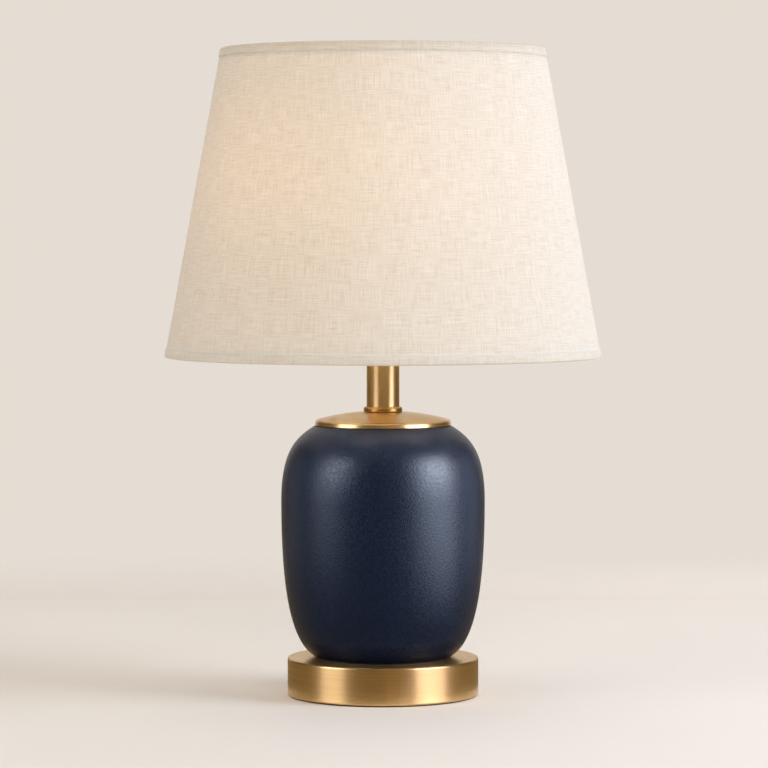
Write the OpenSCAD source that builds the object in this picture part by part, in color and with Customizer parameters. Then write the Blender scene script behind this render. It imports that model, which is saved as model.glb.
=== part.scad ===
// Bedside lamp: ceramic jar on a weighted brass base, with a harp that carries a tapered linen shade.
// Millimetres, +Z up. The origin is the centre of the felt that the lamp stands on; the front faces -Y.

/* [Base] */
// Diameter of the spun brass base cover
base_d = 134; // [110:1:170]
// Height of the base cover, from its open lower edge to its flat top
base_h = 26.2; // [22:0.2:40]
// Sheet thickness of the base cover
base_wall = 1.6; // [1:0.1:2.4]
// Radius of the cover's upper edge
base_edge_r = 1.5; // [0.6:0.1:3]
// Radius of the cover's lower edge
base_foot_r = 1.2; // [0.4:0.1:1.4]
// Thickness of the felt under the base
felt_t = 2; // [1.2:0.1:4]
// How far the felt stands below the brass edge
felt_proud = 0.8; // [0.3:0.1:1]
// Diameter of the pocket for the washer and nut under the iron weight
pocket_d = 34; // [32:1:50]
// Height of the washer pocket above the felt
pocket_h = 15; // [13:0.5:17]

/* [Cord inlet] */
// Bore of the inlet bush that the cord passes through
inlet_bore_d = 6.6; // [5:0.1:7.4]
// Height of the inlet's axis above the table
inlet_z = 10; // [9.2:0.1:12]
// Diameter of the bush where it passes through the cover
inlet_shank_d = 9.6; // [9:0.1:11]
// Diameter of the bush's outer flange
inlet_flange_d = 13; // [12:0.5:14]

/* [Rod and nuts] */
// Outer diameter of the hollow threaded rod
rod_d = 10; // [8:0.5:12]
// Bore of the threaded rod
rod_bore_d = 7; // [5:0.5:7.4]
// Thread pitch of the rod
rod_pitch = 1; // [0.8:0.1:1.5]
// Hexagon of the rod's nuts, across flats
nut_af = 17; // [16:1:22]
// Thickness of the nut under the base
base_nut_t = 5; // [3:0.5:6]
// Thickness of the nut that locks the harp saddle
lock_nut_t = 3.2; // [2:0.2:5]
// Diameter of the washer under the weight
washer_d = 28; // [24:1:31]
// Thickness of the washer under the weight
washer_t = 2; // [1:0.2:3]

/* [Jar] */
// Height of the ceramic jar
jar_h = 161.6; // [130:0.2:210]
// Diameter of the jar at its belly
belly_d = 142.8; // [126:0.2:170]
// Height of the belly above the jar's foot
belly_h = 109.2; // [95:0.2:120]
// Diameter of the jar's flat foot
foot_d = 95.2; // [80:0.2:108]
// Diameter of the flat ring that the cap stands on
shoulder_d = 96.4; // [95:0.2:104]
// Wall thickness of the jar
jar_wall = 5; // [3.5:0.5:8]
// Diameter of the opening in the jar's top
mouth_d = 56; // [30:1:70]
// Diameter of the hole in the jar's foot
foot_hole_d = 24; // [14:1:40]
// Thickness of the rubber rings above and below the jar
gasket_t = 0.8; // [0.5:0.1:2]

/* [Cap and neck] */
// Diameter of the brass cap on the jar
cap_d = 95.2; // [88:0.2:96]
// Height of the cap's rim
cap_rim_h = 4; // [3:0.2:8]
// How far the cap's dome rises above its rim
cap_rise = 5.2; // [3:0.2:12]
// Sheet thickness of the cap
cap_sheet = 1.2; // [0.8:0.1:2]
// Diameter of the collar ring at the foot of the neck
collar_d = 27.3; // [25:0.1:36]
// Height of the collar ring
collar_h = 3.5; // [2.5:0.1:6]
// Outer diameter of the neck tube
neck_d = 23.2; // [18:0.2:24]
// Length of the neck tube
neck_l = 40; // [30:0.5:80]
// Wall thickness of the neck tube
neck_wall = 1.2; // [0.8:0.1:2]

/* [Harp] */
// Height of the harp, from its saddle to the seat of the shade
harp_h = 187; // [184:0.5:210]
// Width of the harp over its wires at the widest place
harp_w = 113; // [108:0.5:125]
// Diameter of the harp wire
harp_wire_d = 3.2; // [2.5:0.1:3.6]
// Distance between the saddle's two prongs
saddle_span = 56; // [52:0.5:60]
// Strip thickness of the saddle
saddle_t = 1.6; // [1.2:0.1:2]
// Length of the locking ferrules
ferrule_l = 14; // [12:0.5:18]
// Diameter of the harp's stud
stud_d = 6.2; // [5:0.1:6.6]
// Height of the finial above the shade's washer
finial_h = 17; // [14:0.5:24]

/* [Socket] */
// Outer diameter of the socket's outer shell
socket_d = 32.2; // [32:0.1:36]
// Length of the socket's outer shell
socket_l = 43; // [41.5:0.5:46]
// Sheet thickness of the socket's shell
socket_sheet = 0.5; // [0.4:0.1:0.6]
// Diameter of the switch knob
knob_d = 13.5; // [10:0.5:18]
// Length of the switch knob
knob_l = 16; // [12:0.5:22]

/* [Bulb] */
// Diameter of the glass envelope
bulb_d = 48; // [42:1:50]
// Overall length of the bulb, with its screw cap
bulb_l = 90; // [86:1:110]
// Crest diameter of the bulb's screw cap
bulb_cap_d = 26.3; // [26:0.1:26.5]
// Wall thickness of the glass
glass_t = 0.9; // [0.6:0.1:1.5]

/* [Shade] */
// Diameter of the shade's lower edge
shade_bottom_d = 305; // [280:1:360]
// Diameter of the shade's upper edge
shade_top_d = 226; // [200:1:260]
// Height of the shade
shade_h = 215; // [190:0.5:230]
// Thickness of the linen cover
cover_t = 0.7; // [0.4:0.1:1]
// Thickness of the stiff liner behind the linen
liner_t = 0.5; // [0.3:0.1:1]
// Diameter of the two ring wires
ring_wire_d = 3; // [2:0.1:4]
// Diameter of the spider's arms
arm_d = 2.6; // [2:0.1:3.4]
// Height of the shade's upper edge above the washer's seat on the harp
spider_drop = 20.6; // [19:0.2:34]
// Depth of the folded hem on the outside of the shade
hem_w = 6.3; // [5:0.1:12]
// Thickness of the folded hem
hem_t = 0.5; // [0.3:0.1:0.8]
// Width of the lapped seam at the back of the shade
seam_w = 10; // [6:0.5:16]

/* [Hidden] */
$fn = 96;

// Clearances between pieces
fit_gap = 0.05;       // a shaft in its own bore, on the radius
slip_gap = 0.25;      // a part threaded over the rod, on the radius
cloth_gap = 0.02;     // glued cloth and liner
wire_gap = 0.12;      // a ring wire inside its folded hem
slide_gap = 0.3;      // pieces that slide past each other

// Finishes
brass = [0.66, 0.50, 0.25];
navy = [0.09, 0.13, 0.24];
linen = [0.90, 0.84, 0.75];
plated = [0.72, 0.60, 0.36];
steel = [0.70, 0.71, 0.72];
iron = [0.22, 0.22, 0.23];
rubber = [0.12, 0.12, 0.13];
felt = [0.20, 0.22, 0.24];
black = [0.10, 0.09, 0.09];
ivory = [0.93, 0.91, 0.86];
frosted = [0.97, 0.96, 0.93];

// Radii that several pieces share
rod_r = rod_d / 2;
rod_hole_r = rod_r + slip_gap;
base_r = base_d / 2;
weight_r = base_r - base_wall - 0.6;
cap_r = cap_d / 2;
neck_bore_r = neck_d / 2 - neck_wall;
socket_bore_r = socket_d / 2 - socket_sheet;
arm_r = arm_d / 2;
ring_r = ring_wire_d / 2;
wire_r = harp_wire_d / 2;

// The stack, from the table up
base_top = felt_proud + base_h;
pocket_top = felt_t + pocket_h;
lock_washer_t = 1;
base_washer_z = pocket_top - washer_t;
base_lock_z = base_washer_z - lock_washer_t;
base_nut_z = base_lock_z - base_nut_t;
rod_z = base_nut_z - 0.8;
jar_z = base_top + gasket_t;
jar_top = jar_z + jar_h;
cap_z = jar_top + gasket_t;
cap_rim_top = cap_z + cap_rim_h;
cap_top = cap_rim_top + cap_rise;
neck_z = cap_top + collar_h;
neck_top = neck_z + neck_l;
plug_t = 2.5;
saddle_z = neck_top + plug_t;
saddle_lock_z = saddle_z + saddle_t;
saddle_nut_z = saddle_lock_z + lock_washer_t;
socket_z = saddle_nut_z + lock_nut_t;
rod_top = socket_z + 7;
harp_seat_z = saddle_z + harp_h;
shade_top = harp_seat_z + spider_drop;
shade_z = shade_top - shade_h;

// Small details of the cap's dome
cap_edge_r = 2.4;
dome_flat_r = 8;
dome_curve = pow(cap_r - cap_edge_r - dome_flat_r, 2) / (2 * cap_rise);

// Harp and saddle
saddle_arm_w = 9;
prong_w = 5;
prong_h = 9;
saddle_rise = 6;
saddle_flat = 13;
saddle_shoulder = 3;
ferrule_wall = 0.9;
ferrule_travel = 10;
leg_x = saddle_span / 2 + saddle_t / 2 + slide_gap + wire_r;
ferrule_x = (saddle_span / 2 - saddle_t / 2 + leg_x + wire_r) / 2;
ferrule_bore_r = norm([leg_x + wire_r - ferrule_x, prong_w / 2]) + 0.2;
ferrule_z = saddle_z + saddle_rise + saddle_t + 0.2;
leg_z = ferrule_z + 0.3;
flare_angle = 40;
flare_r = 14;
lean_angle = 4;
side_bend_r = 30;
shoulder_bend_r = 38;
hub_wire_drop = 4;
hub_r = 5;
hub_h = 7.5;
hub_flange_r = 8;
hub_flange_t = 1.2;
stud_l = 12;
leg_straight = ferrule_l + ferrule_travel + 1.5;
bend_thin = 0.02;
bend_lap = 0.4;

// Socket, measured from the foot of its cap
socket_cap_h = 24;
set_screw_h = 4.2;
set_screw_r = 1.5;
socket_shell_z = socket_z + 17;
socket_body_z = socket_z + 12.3;
socket_body_top = socket_z + 31;
socket_body_r = 14.4;
terminal_neck_r = 11;
terminal_neck_h = 9;
spindle_z = socket_z + 27;
spindle_r = 2;
contact_top = socket_body_top + 2.6;
screw_shell_top = socket_body_top + 24;
screw_shell_r = 13.45;
screw_pitch = 3.63;
screw_depth = 0.6;
metal_t = 0.4;

// Bulb, measured from its end contact
bulb_z = contact_top + fit_gap;
bulb_r = bulb_d / 2;
bulb_thread_z = bulb_z + 3.4;
bulb_thread_l = 17.4;
bulb_flare_z = bulb_z + 22.4;
bulb_glass_z = bulb_z + 24;
bulb_centre_z = bulb_z + bulb_l - bulb_r;
bulb_neck_r = bulb_cap_d / 2 - 0.4;
stem_foot_r = 5;
stem_tip_r = 2.2;
stem_l = 34;
strip_r = 0.9;
strip_l = 30;
strip_rise = 20;
strip_lean = 14;
strip_x = stem_foot_r - (stem_foot_r - stem_tip_r) * strip_rise / stem_l + strip_r + slip_gap;

// Shade, with its slope and the wires inside its two edges
shade_slope = atan2((shade_bottom_d - shade_top_d) / 2, shade_h);
shade_slant = norm([(shade_bottom_d - shade_top_d) / 2, shade_h]);
liner_v = -cover_t - cloth_gap;
wire_v = liner_v - liner_t - wire_gap - ring_r;
wire_u = hem_t + wire_gap + ring_r;
top_wire = edge_point(true, wire_u, wire_v);
bottom_wire = edge_point(false, wire_u, wire_v);
washer_hole_r = stud_d / 2 + 0.3;
spider_washer_r = 13;
spider_washer_t = 1.8;
spider_z = harp_seat_z + spider_washer_t / 2;
knuckle_r = 24;
arm_bend_r = 16;
arm_count = 3;
finial_z = harp_seat_z + spider_washer_t + fit_gap;

// Point of a cubic curve through a and d with handles b and c
function bezier(a, b, c, d, t) =
    pow(1 - t, 3) * a + 3 * pow(1 - t, 2) * t * b + 3 * (1 - t) * t * t * c + pow(t, 3) * d;

// Unit direction of that curve
function bezier_way(a, b, c, d, t) =
    let (v = pow(1 - t, 2) * (b - a) + 2 * (1 - t) * t * (c - b) + t * t * (d - c)) v / norm(v);

// A point near one edge of the shade: u runs from the edge along the slope, v stands out of the linen
function edge_point(at_top, u, v) =
    let (s = sin(shade_slope), c = cos(shade_slope))
    at_top
        ? [shade_top_d / 2 + u * s + v * c, shade_top - u * c + v * s]
        : [shade_bottom_d / 2 - u * s + v * c, shade_z + u * c + v * s];

// Points of an arc about a centre, from one angle to another
function arc(centre, r, from, to, steps) =
    [for (i = [0 : steps]) let (a = from + (to - from) * i / steps) centre + r * [cos(a), sin(a)]];

// Rounded screw thread drawn as rings, from z0 up: crest radius, depth, pitch, length
function thread_wave(crest_r, depth, pitch, z0, l, per_turn = 8) =
    let (n = floor(l / pitch) * per_turn)
    [for (i = [0 : n]) [crest_r - depth * (1 - cos(360 * i / per_turn)) / 2, z0 + i * pitch / per_turn]];

// Sharp-edged machine thread drawn as rings, from z0 up
function thread_teeth(crest_r, depth, pitch, z0, turns) =
    [for (i = [0 : 2 * turns]) [crest_r - (i % 2) * depth, z0 + i * pitch / 2]];

// Half section of a disc whose outer edges are rounded
module disc_section(r, h, top_round, foot_round = 0.3) {
    square([r - max(top_round, foot_round), h]);
    translate([0, foot_round]) square([r, h - top_round - foot_round]);
    square([r - foot_round, foot_round + 0.01]);
    translate([0, h - top_round - 0.01]) square([r - top_round, top_round + 0.01]);
    translate([r - top_round, h - top_round]) circle(top_round);
    translate([r - foot_round, foot_round]) circle(foot_round);
}

// Tube or washer standing on z
module ring(outer_r, inner_r, z, h) {
    translate([0, 0, z]) difference() {
        cylinder(r = outer_r, h = h);
        translate([0, 0, -1]) cylinder(r = inner_r, h = h + 2);
    }
}

// Hexagon nut on the rod
module rod_nut(z, t) {
    translate([0, 0, z]) difference() {
        cylinder(d = nut_af / cos(30), h = t, $fn = 6);
        translate([0, 0, -1]) cylinder(r = rod_r + fit_gap, h = t + 2);
    }
}

// Split spring washer on the rod
module rod_lock_washer(z) {
    difference() {
        ring(rod_r + 3.6, rod_hole_r, z, lock_washer_t);
        translate([0, -0.5, z - 1]) rotate(20) cube([rod_r + 6, 1, lock_washer_t + 2]);
    }
}

module felt_pad() {
    color(felt) cylinder(r = weight_r, h = felt_t);
}

module base_cover() {
    color(brass) difference() {
        translate([0, 0, felt_proud]) rotate_extrude() disc_section(base_r, base_h, base_edge_r, base_foot_r);
        translate([0, 0, -1]) cylinder(r = base_r - base_wall, h = base_top - base_wall + 1);
        cylinder(r = rod_hole_r, h = base_top + 1);
        translate([0, base_r - 6, inlet_z]) rotate([-90, 0, 0])
            cylinder(r = inlet_shank_d / 2 + 0.1, h = 12);
    }
}

// Iron weight with its washer pocket and the channel that the cord runs through
module base_weight() {
    channel_w = inlet_bore_d + 2.6;
    bush_pocket_w = inlet_flange_d + 1;
    bush_pocket_l = 9;
    color(iron) difference() {
        translate([0, 0, felt_t]) cylinder(r = weight_r, h = base_top - base_wall - felt_t);
        cylinder(r = rod_hole_r + 0.3, h = base_top);
        translate([0, 0, felt_t - 1]) cylinder(d = pocket_d, h = pocket_h + 1);
        translate([-channel_w / 2, 0, felt_t - 1]) cube([channel_w, base_r, inlet_z + channel_w / 2 - felt_t + 1]);
        translate([-bush_pocket_w / 2, weight_r - bush_pocket_l, felt_t - 1])
            cube([bush_pocket_w, base_r, inlet_z + bush_pocket_w / 2 - felt_t + 1]);
    }
}

module base_washer() {
    color(steel) ring(washer_d / 2, rod_hole_r, base_washer_z, washer_t);
}

module base_lock_washer() {
    color(steel) rod_lock_washer(base_lock_z);
}

module base_nut() {
    color(steel) rod_nut(base_nut_z, base_nut_t);
}

// Bush with a rounded flange outside the cover and a smaller snap flange inside it
module cord_inlet_bush() {
    shank_r = inlet_shank_d / 2;
    snap_r = shank_r + 1;
    outer_face = base_r + fit_gap;
    inner_face = sqrt(pow(base_r - base_wall, 2) - pow(snap_r, 2)) - fit_gap;
    flange_t = 1.8;
    flange_edge_r = flange_t / 2;
    snap_t = 1.2;
    tail_l = 3;
    color(black) translate([0, outer_face + flange_t, inlet_z]) rotate([90, 0, 0]) difference() {
        union() {
            translate([0, 0, flange_t]) mirror([0, 0, 1])
                rotate_extrude() disc_section(inlet_flange_d / 2, flange_t, flange_edge_r, 0.2);
            cylinder(r = shank_r, h = outer_face + flange_t - inner_face + snap_t + tail_l);
            translate([0, 0, outer_face + flange_t - inner_face]) cylinder(r = snap_r, h = snap_t);
        }
        translate([0, 0, -1]) cylinder(d = inlet_bore_d, h = 40);
    }
}

// Hollow rod, threaded for the nuts at its foot and for the saddle and socket at its head
module threaded_rod() {
    depth = 0.35;
    foot_turns = floor((pocket_h - 1) / rod_pitch);
    head_turns = floor((rod_top - saddle_z + 2) / rod_pitch);
    color(steel) rotate_extrude() polygon(concat(
        [[rod_bore_d / 2, rod_z]],
        thread_teeth(rod_r, depth, rod_pitch, rod_z, foot_turns),
        thread_teeth(rod_r, depth, rod_pitch, rod_top - head_turns * rod_pitch, head_turns),
        [[rod_bore_d / 2, rod_top]]
    ));
}

module foot_gasket() {
    color(rubber) ring(foot_d / 2 - 1.5, foot_hole_d / 2 + 2, base_top, gasket_t);
}

// The jar's outline is two curves that meet, upright, at the belly
module ceramic_jar() {
    steps = 26;
    belly = [belly_d / 2, jar_z + belly_h];
    foot = [foot_d / 2, jar_z];
    rim = [shoulder_d / 2, jar_top];
    foot_handle = foot + [0.853 * (belly.x - foot.x), 0.093 * belly_h];
    belly_low_handle = belly - [0, 0.434 * belly_h];
    belly_high_handle = belly + [0, 0.653 * (jar_h - belly_h)];
    rim_handle = rim + [0.578 * (belly.x - rim.x), -0.16 * (jar_h - belly_h)];
    flank = [for (i = [0 : steps]) bezier(foot, foot_handle, belly_low_handle, belly, i / steps)];
    shoulder = [for (i = [1 : steps]) bezier(belly, belly_high_handle, rim_handle, rim, i / steps)];
    flank_ways = [for (i = [0 : steps]) bezier_way(foot, foot_handle, belly_low_handle, belly, i / steps)];
    shoulder_ways =
        [for (i = [1 : steps]) bezier_way(belly, belly_high_handle, rim_handle, rim, i / steps)];
    outline = concat(flank, shoulder);
    ways = concat(flank_ways, shoulder_ways);
    inside = [for (i = [len(outline) - 1 : -1 : 0])
        let (p = outline[i] + jar_wall * [-ways[i].y, ways[i].x])
        [p.x, min(max(p.y, jar_z + jar_wall), jar_top - jar_wall)]];
    color(navy) rotate_extrude() polygon(concat(
        [[foot_hole_d / 2, jar_z]],
        outline,
        [[mouth_d / 2, jar_top], [mouth_d / 2, jar_top - jar_wall]],
        inside,
        [[foot_hole_d / 2, jar_z + jar_wall]]
    ));
}

module cap_gasket() {
    color(rubber) ring(cap_r - 0.4, cap_r - 6, jar_top, gasket_t);
}

// Height of the cap's top surface at a radius
function dome_z(r) = cap_top - pow(max(0, r - dome_flat_r), 2) / (2 * dome_curve);

module jar_cap() {
    steps = 14;
    edge_centre = [cap_r - cap_edge_r, cap_rim_top - cap_edge_r];
    radii = [for (i = [0 : steps - 1]) rod_hole_r + (edge_centre.x - rod_hole_r) * i / steps];
    color(brass) rotate_extrude() polygon(concat(
        [for (r = radii) [r, dome_z(r)]],
        arc(edge_centre, cap_edge_r, 90, 0, 8),
        [[cap_r, cap_z], [cap_r - cap_sheet, cap_z]],
        arc(edge_centre, cap_edge_r - cap_sheet, 0, 90, 8),
        [for (i = [steps - 1 : -1 : 0]) [radii[i], dome_z(radii[i]) - cap_sheet]]
    ));
}

// Check ring with a spigot that centres the neck tube
module neck_collar() {
    spigot_h = 3;
    color(brass) translate([0, 0, cap_top]) difference() {
        union() {
            rotate_extrude() disc_section(collar_d / 2, collar_h, 1.3, 0.9);
            cylinder(r = neck_bore_r - fit_gap, h = collar_h + spigot_h);
        }
        translate([0, 0, -1]) cylinder(r = rod_hole_r, h = collar_h + spigot_h + 2);
    }
}

module neck_tube() {
    color(brass) ring(neck_d / 2, neck_bore_r, neck_z, neck_l);
}

module neck_plug() {
    spigot_h = 4;
    color(brass) difference() {
        union() {
            translate([0, 0, neck_top]) rotate_extrude() disc_section(neck_d / 2, plug_t, 0.6);
            translate([0, 0, neck_top - spigot_h]) cylinder(r = neck_bore_r - fit_gap, h = spigot_h + 0.1);
        }
        translate([0, 0, neck_top - spigot_h - 1]) cylinder(r = rod_hole_r, h = spigot_h + plug_t + 2);
    }
}

// Half outline of the saddle's bent strip, without its prong
function saddle_arm(prong_x) = [
    [-0.01, 0], [saddle_flat, 0], [prong_x - saddle_shoulder, saddle_rise],
    [leg_x + wire_r, saddle_rise], [leg_x + wire_r, saddle_rise + saddle_t],
    [prong_x - saddle_shoulder - 0.35, saddle_rise + saddle_t], [saddle_flat - 0.35, saddle_t], [-0.01, saddle_t]
];

module harp_saddle() {
    prong_x = saddle_span / 2;
    color(plated) translate([0, 0, saddle_z]) difference() {
        union() {
            cylinder(r = neck_d / 2 - 0.6, h = saddle_t);
            for (side = [0, 1]) mirror([side, 0, 0]) {
                rotate([90, 0, 0]) linear_extrude(saddle_arm_w, center = true) polygon(saddle_arm(prong_x));
                translate([prong_x - saddle_t / 2, -prong_w / 2, saddle_rise])
                    cube([saddle_t, prong_w, saddle_t + prong_h]);
            }
        }
        translate([0, 0, -1]) cylinder(r = rod_hole_r, h = saddle_t + 2);
    }
}

module saddle_lock_washer() {
    color(steel) rod_lock_washer(saddle_lock_z);
}

module saddle_nut() {
    color(plated) rod_nut(saddle_nut_z, lock_nut_t);
}

// Hub and cup of the socket, with a hole for its set screw
module socket_cap() {
    wall = 0.8;
    neck_r = 8;
    neck_h = 8;
    flare_w = 2.4;
    flare_h = 10.4;
    cup_foot_h = 15.4;
    cup_floor_h = 16;
    bore_h = 9.6;
    cup_bore = socket_d / 2 + 0.1;
    cup_r = cup_bore + wall;
    bore = rod_r + fit_gap;
    color(plated) translate([0, 0, socket_z]) difference() {
        rotate_extrude() polygon([
            [bore, 0], [neck_r, 0], [neck_r, neck_h], [neck_r + flare_w, flare_h], [cup_r, cup_foot_h],
            [cup_r, socket_cap_h], [cup_bore, socket_cap_h], [cup_bore, cup_floor_h],
            [neck_r + flare_w - wall, flare_h + wall / 2], [bore, bore_h]
        ]);
        translate([0, 0, set_screw_h]) rotate([0, 90, 0]) cylinder(r = set_screw_r + 0.1, h = socket_d / 2);
    }
}

module socket_set_screw() {
    screw_l = 3.8;
    slot_w = 0.6;
    slot_h = 0.7;
    color(steel) translate([rod_r + 0.08, 0, socket_z + set_screw_h]) rotate([0, 90, 0]) difference() {
        cylinder(r = set_screw_r, h = screw_l);
        translate([-slot_w / 2, -2 * set_screw_r, screw_l - slot_h]) cube([slot_w, 4 * set_screw_r, 2 * slot_h]);
    }
}

// Outer shell with its round window for the switch spindle
module socket_shell() {
    color(plated) difference() {
        ring(socket_d / 2, socket_bore_r, socket_shell_z, socket_l);
        translate([0, 0, spindle_z]) rotate([90, 0, 0]) cylinder(r = spindle_r + 1.2, h = socket_d);
    }
}

module socket_liner() {
    liner_sheet = 0.6;
    liner_l = socket_l - 1.6;
    color(ivory) difference() {
        ring(socket_bore_r - 0.1, socket_bore_r - 0.1 - liner_sheet, socket_shell_z + 0.4, liner_l);
        translate([0, 0, spindle_z]) rotate([90, 0, 0]) cylinder(r = spindle_r + 1, h = socket_d);
    }
}

// Moulded body that holds the switch, with a waist for its terminals
module socket_body() {
    color(black) difference() {
        union() {
            translate([0, 0, socket_body_z]) cylinder(r = terminal_neck_r, h = terminal_neck_h + 0.1);
            translate([0, 0, socket_body_z + terminal_neck_h])
                cylinder(r = socket_body_r, h = socket_body_top - socket_body_z - terminal_neck_h);
        }
        translate([0, 0, socket_body_z - 1]) cylinder(r = 4, h = 6);
        translate([0, -4, spindle_z]) rotate([90, 0, 0]) cylinder(r = spindle_r + fit_gap, h = 20);
    }
}

module terminal_screws() {
    color(plated) for (side = [0, 180]) rotate(side)
        translate([terminal_neck_r + 0.05, 0, socket_body_z + 4.6]) rotate([0, 90, 0]) difference() {
            cylinder(r = 3, h = 2);
            translate([-0.4, -4, 1.3]) cube([0.8, 8, 2]);
        }
}

// Threaded metal shell with its foot flange
module screw_shell() {
    wall_z = socket_body_top + 1.2;
    wave = [for (p = thread_wave(screw_shell_r + screw_depth, screw_depth, screw_pitch, wall_z, 20)) p];
    last = len(wave) - 1;
    color(plated) rotate_extrude() polygon(concat(
        [[6, socket_body_top + fit_gap], [screw_shell_r + screw_depth, socket_body_top + fit_gap]],
        [for (p = wave) p + [metal_t, 0]],
        [[wave[last].x + metal_t, screw_shell_top], [wave[last].x, screw_shell_top]],
        [for (i = [last : -1 : 0]) wave[i]],
        [[wave[0].x, socket_body_top + 0.5], [6, socket_body_top + 0.5]]
    ));
}

module centre_contact() {
    color(plated) translate([0, 0, socket_body_top + fit_gap]) {
        cylinder(r = 4.5, h = 0.5);
        cylinder(r1 = 3, r2 = 2, h = contact_top - socket_body_top - fit_gap);
    }
}

module switch_spindle() {
    color(plated) translate([0, -5, spindle_z]) rotate([90, 0, 0]) cylinder(r = spindle_r, h = socket_d / 2 + 4);
}

// Fluted knob with a shallow dished end
module switch_knob() {
    flutes = 12;
    start = socket_d / 2 + 1.4;
    color(black) translate([0, -start, spindle_z]) rotate([90, 0, 0]) difference() {
        rotate_extrude() disc_section(knob_d / 2, knob_l, 1.2, 0.6);
        translate([0, 0, -1]) cylinder(r = spindle_r + fit_gap, h = socket_d / 2 - start + 10.2);
        for (i = [0 : flutes - 1]) rotate(360 * i / flutes)
            translate([knob_d / 2 + 0.7, 0, 3]) cylinder(r = 1.4, h = knob_l);
        translate([0, 0, knob_l + 18]) sphere(r = 18.6);
    }
}

module bulb_contact() {
    color(steel) translate([0, 0, bulb_z]) rotate_extrude() disc_section(4.6, 1.2, 0.2, 0.5);
}

module bulb_insulator() {
    low_z = bulb_z + 1.2 + cloth_gap;
    color(black) translate([0, 0, low_z]) cylinder(r1 = 5.4, r2 = 11.6, h = bulb_thread_z - low_z - cloth_gap);
}

// Threaded metal cap of the bulb, closed below by the insulator
module bulb_screw_cap() {
    crest = bulb_cap_d / 2;
    wave = thread_wave(crest, 0.8, screw_pitch, bulb_thread_z, bulb_thread_l);
    last = len(wave) - 1;
    color(steel) rotate_extrude() polygon(concat(
        [[6, bulb_thread_z]],
        wave,
        [[crest - 0.3, bulb_flare_z], [crest + 0.8, bulb_glass_z + 0.8], [crest + 0.4, bulb_glass_z + 0.8],
            [crest - 0.7, bulb_flare_z]],
        [for (i = [last : -1 : 0]) wave[i] - [metal_t, i == 0 ? -metal_t : 0]],
        [[6, bulb_thread_z + metal_t]]
    ));
}

// Radius-height points of the glass, set in by a distance from its outer face
function glass_outline(inset) =
    let (
        r = bulb_r - inset,
        meet = -36,
        neck = [bulb_neck_r - inset, bulb_glass_z],
        ball = [r * cos(meet), bulb_centre_z + r * sin(meet)]
    )
    concat(
        [for (i = [0 : 11]) bezier(
            neck, neck + [0, 11], ball + 12 * [sin(meet), -cos(meet)], ball, i / 12)],
        arc([0, bulb_centre_z], r, meet, 88, 18)
    );

module bulb_glass() {
    outer = glass_outline(0);
    inner = glass_outline(glass_t);
    color(frosted) rotate_extrude() polygon(concat(
        outer,
        [[0, bulb_centre_z + bulb_r], [0, bulb_centre_z + bulb_r - glass_t]],
        [for (i = [len(inner) - 1 : -1 : 0]) inner[i]]
    ));
}

// Glass stem that carries the filaments inside the bulb
module bulb_stem() {
    color(frosted) translate([0, 0, bulb_glass_z]) {
        cylinder(r = bulb_neck_r - glass_t - fit_gap, h = 1.2);
        cylinder(r1 = stem_foot_r, r2 = stem_tip_r, h = stem_l);
        translate([0, 0, stem_l]) sphere(r = stem_tip_r);
    }
}

module bulb_filaments() {
    count = 4;
    color([0.95, 0.75, 0.35]) for (i = [0 : count - 1]) rotate(45 + 360 * i / count)
        translate([strip_x, 0, bulb_glass_z + strip_rise]) rotate([0, strip_lean, 0])
            cylinder(r = strip_r, h = strip_l);
}

// Wire along a planar path: each step is [length] or [bend radius, bend angle], left turns positive.
// A bend is drawn a hair thinner than the runs, which reach into it.
module wire_path(steps, r, i = 0) {
    if (i < len(steps)) {
        step = steps[i];
        if (len(step) == 1) {
            before = i > 0 ? bend_lap : 0;
            after = i < len(steps) - 1 ? bend_lap : 0;
            translate([-before, 0, 0]) rotate([0, 90, 0]) cylinder(r = r, h = step[0] + before + after);
            translate([step[0], 0, 0]) wire_path(steps, r, i + 1);
        } else {
            turn = sign(step[1]);
            translate([0, turn * step[0], 0]) {
                rotate(turn > 0 ? -90 : 90 + step[1]) rotate_extrude(angle = abs(step[1]))
                    translate([step[0], 0]) circle(r - bend_thin);
                rotate(step[1]) translate([0, -turn * step[0], 0]) wire_path(steps, r, i + 1);
            }
        }
    }
}

// One continuous wire: from the hub out, down the side, in again and down through each ferrule
module harp_wire() {
    widest = harp_w / 2 - wire_r;
    out_run = (widest - leg_x - flare_r * (1 - cos(flare_angle))
        - side_bend_r * (cos(lean_angle) - cos(flare_angle))) / sin(flare_angle);
    side_top_z = leg_z + leg_straight + flare_r * sin(flare_angle) + out_run * cos(flare_angle)
        + side_bend_r * (sin(flare_angle) + sin(lean_angle));
    wire_top_z = harp_seat_z - hub_wire_drop;
    side_run = (wire_top_z - side_top_z - shoulder_bend_r * (1 - sin(lean_angle))) / cos(lean_angle);
    top_run = widest - side_run * sin(lean_angle) - shoulder_bend_r * cos(lean_angle);
    steps = [
        [top_run], [shoulder_bend_r, lean_angle - 90], [side_run], [side_bend_r, -flare_angle - lean_angle],
        [out_run], [flare_r, flare_angle], [leg_straight]
    ];
    color(plated) for (side = [0, 1]) mirror([side, 0, 0])
        translate([0, 0, wire_top_z]) rotate([90, 0, 0]) wire_path(steps, wire_r);
}

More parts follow.
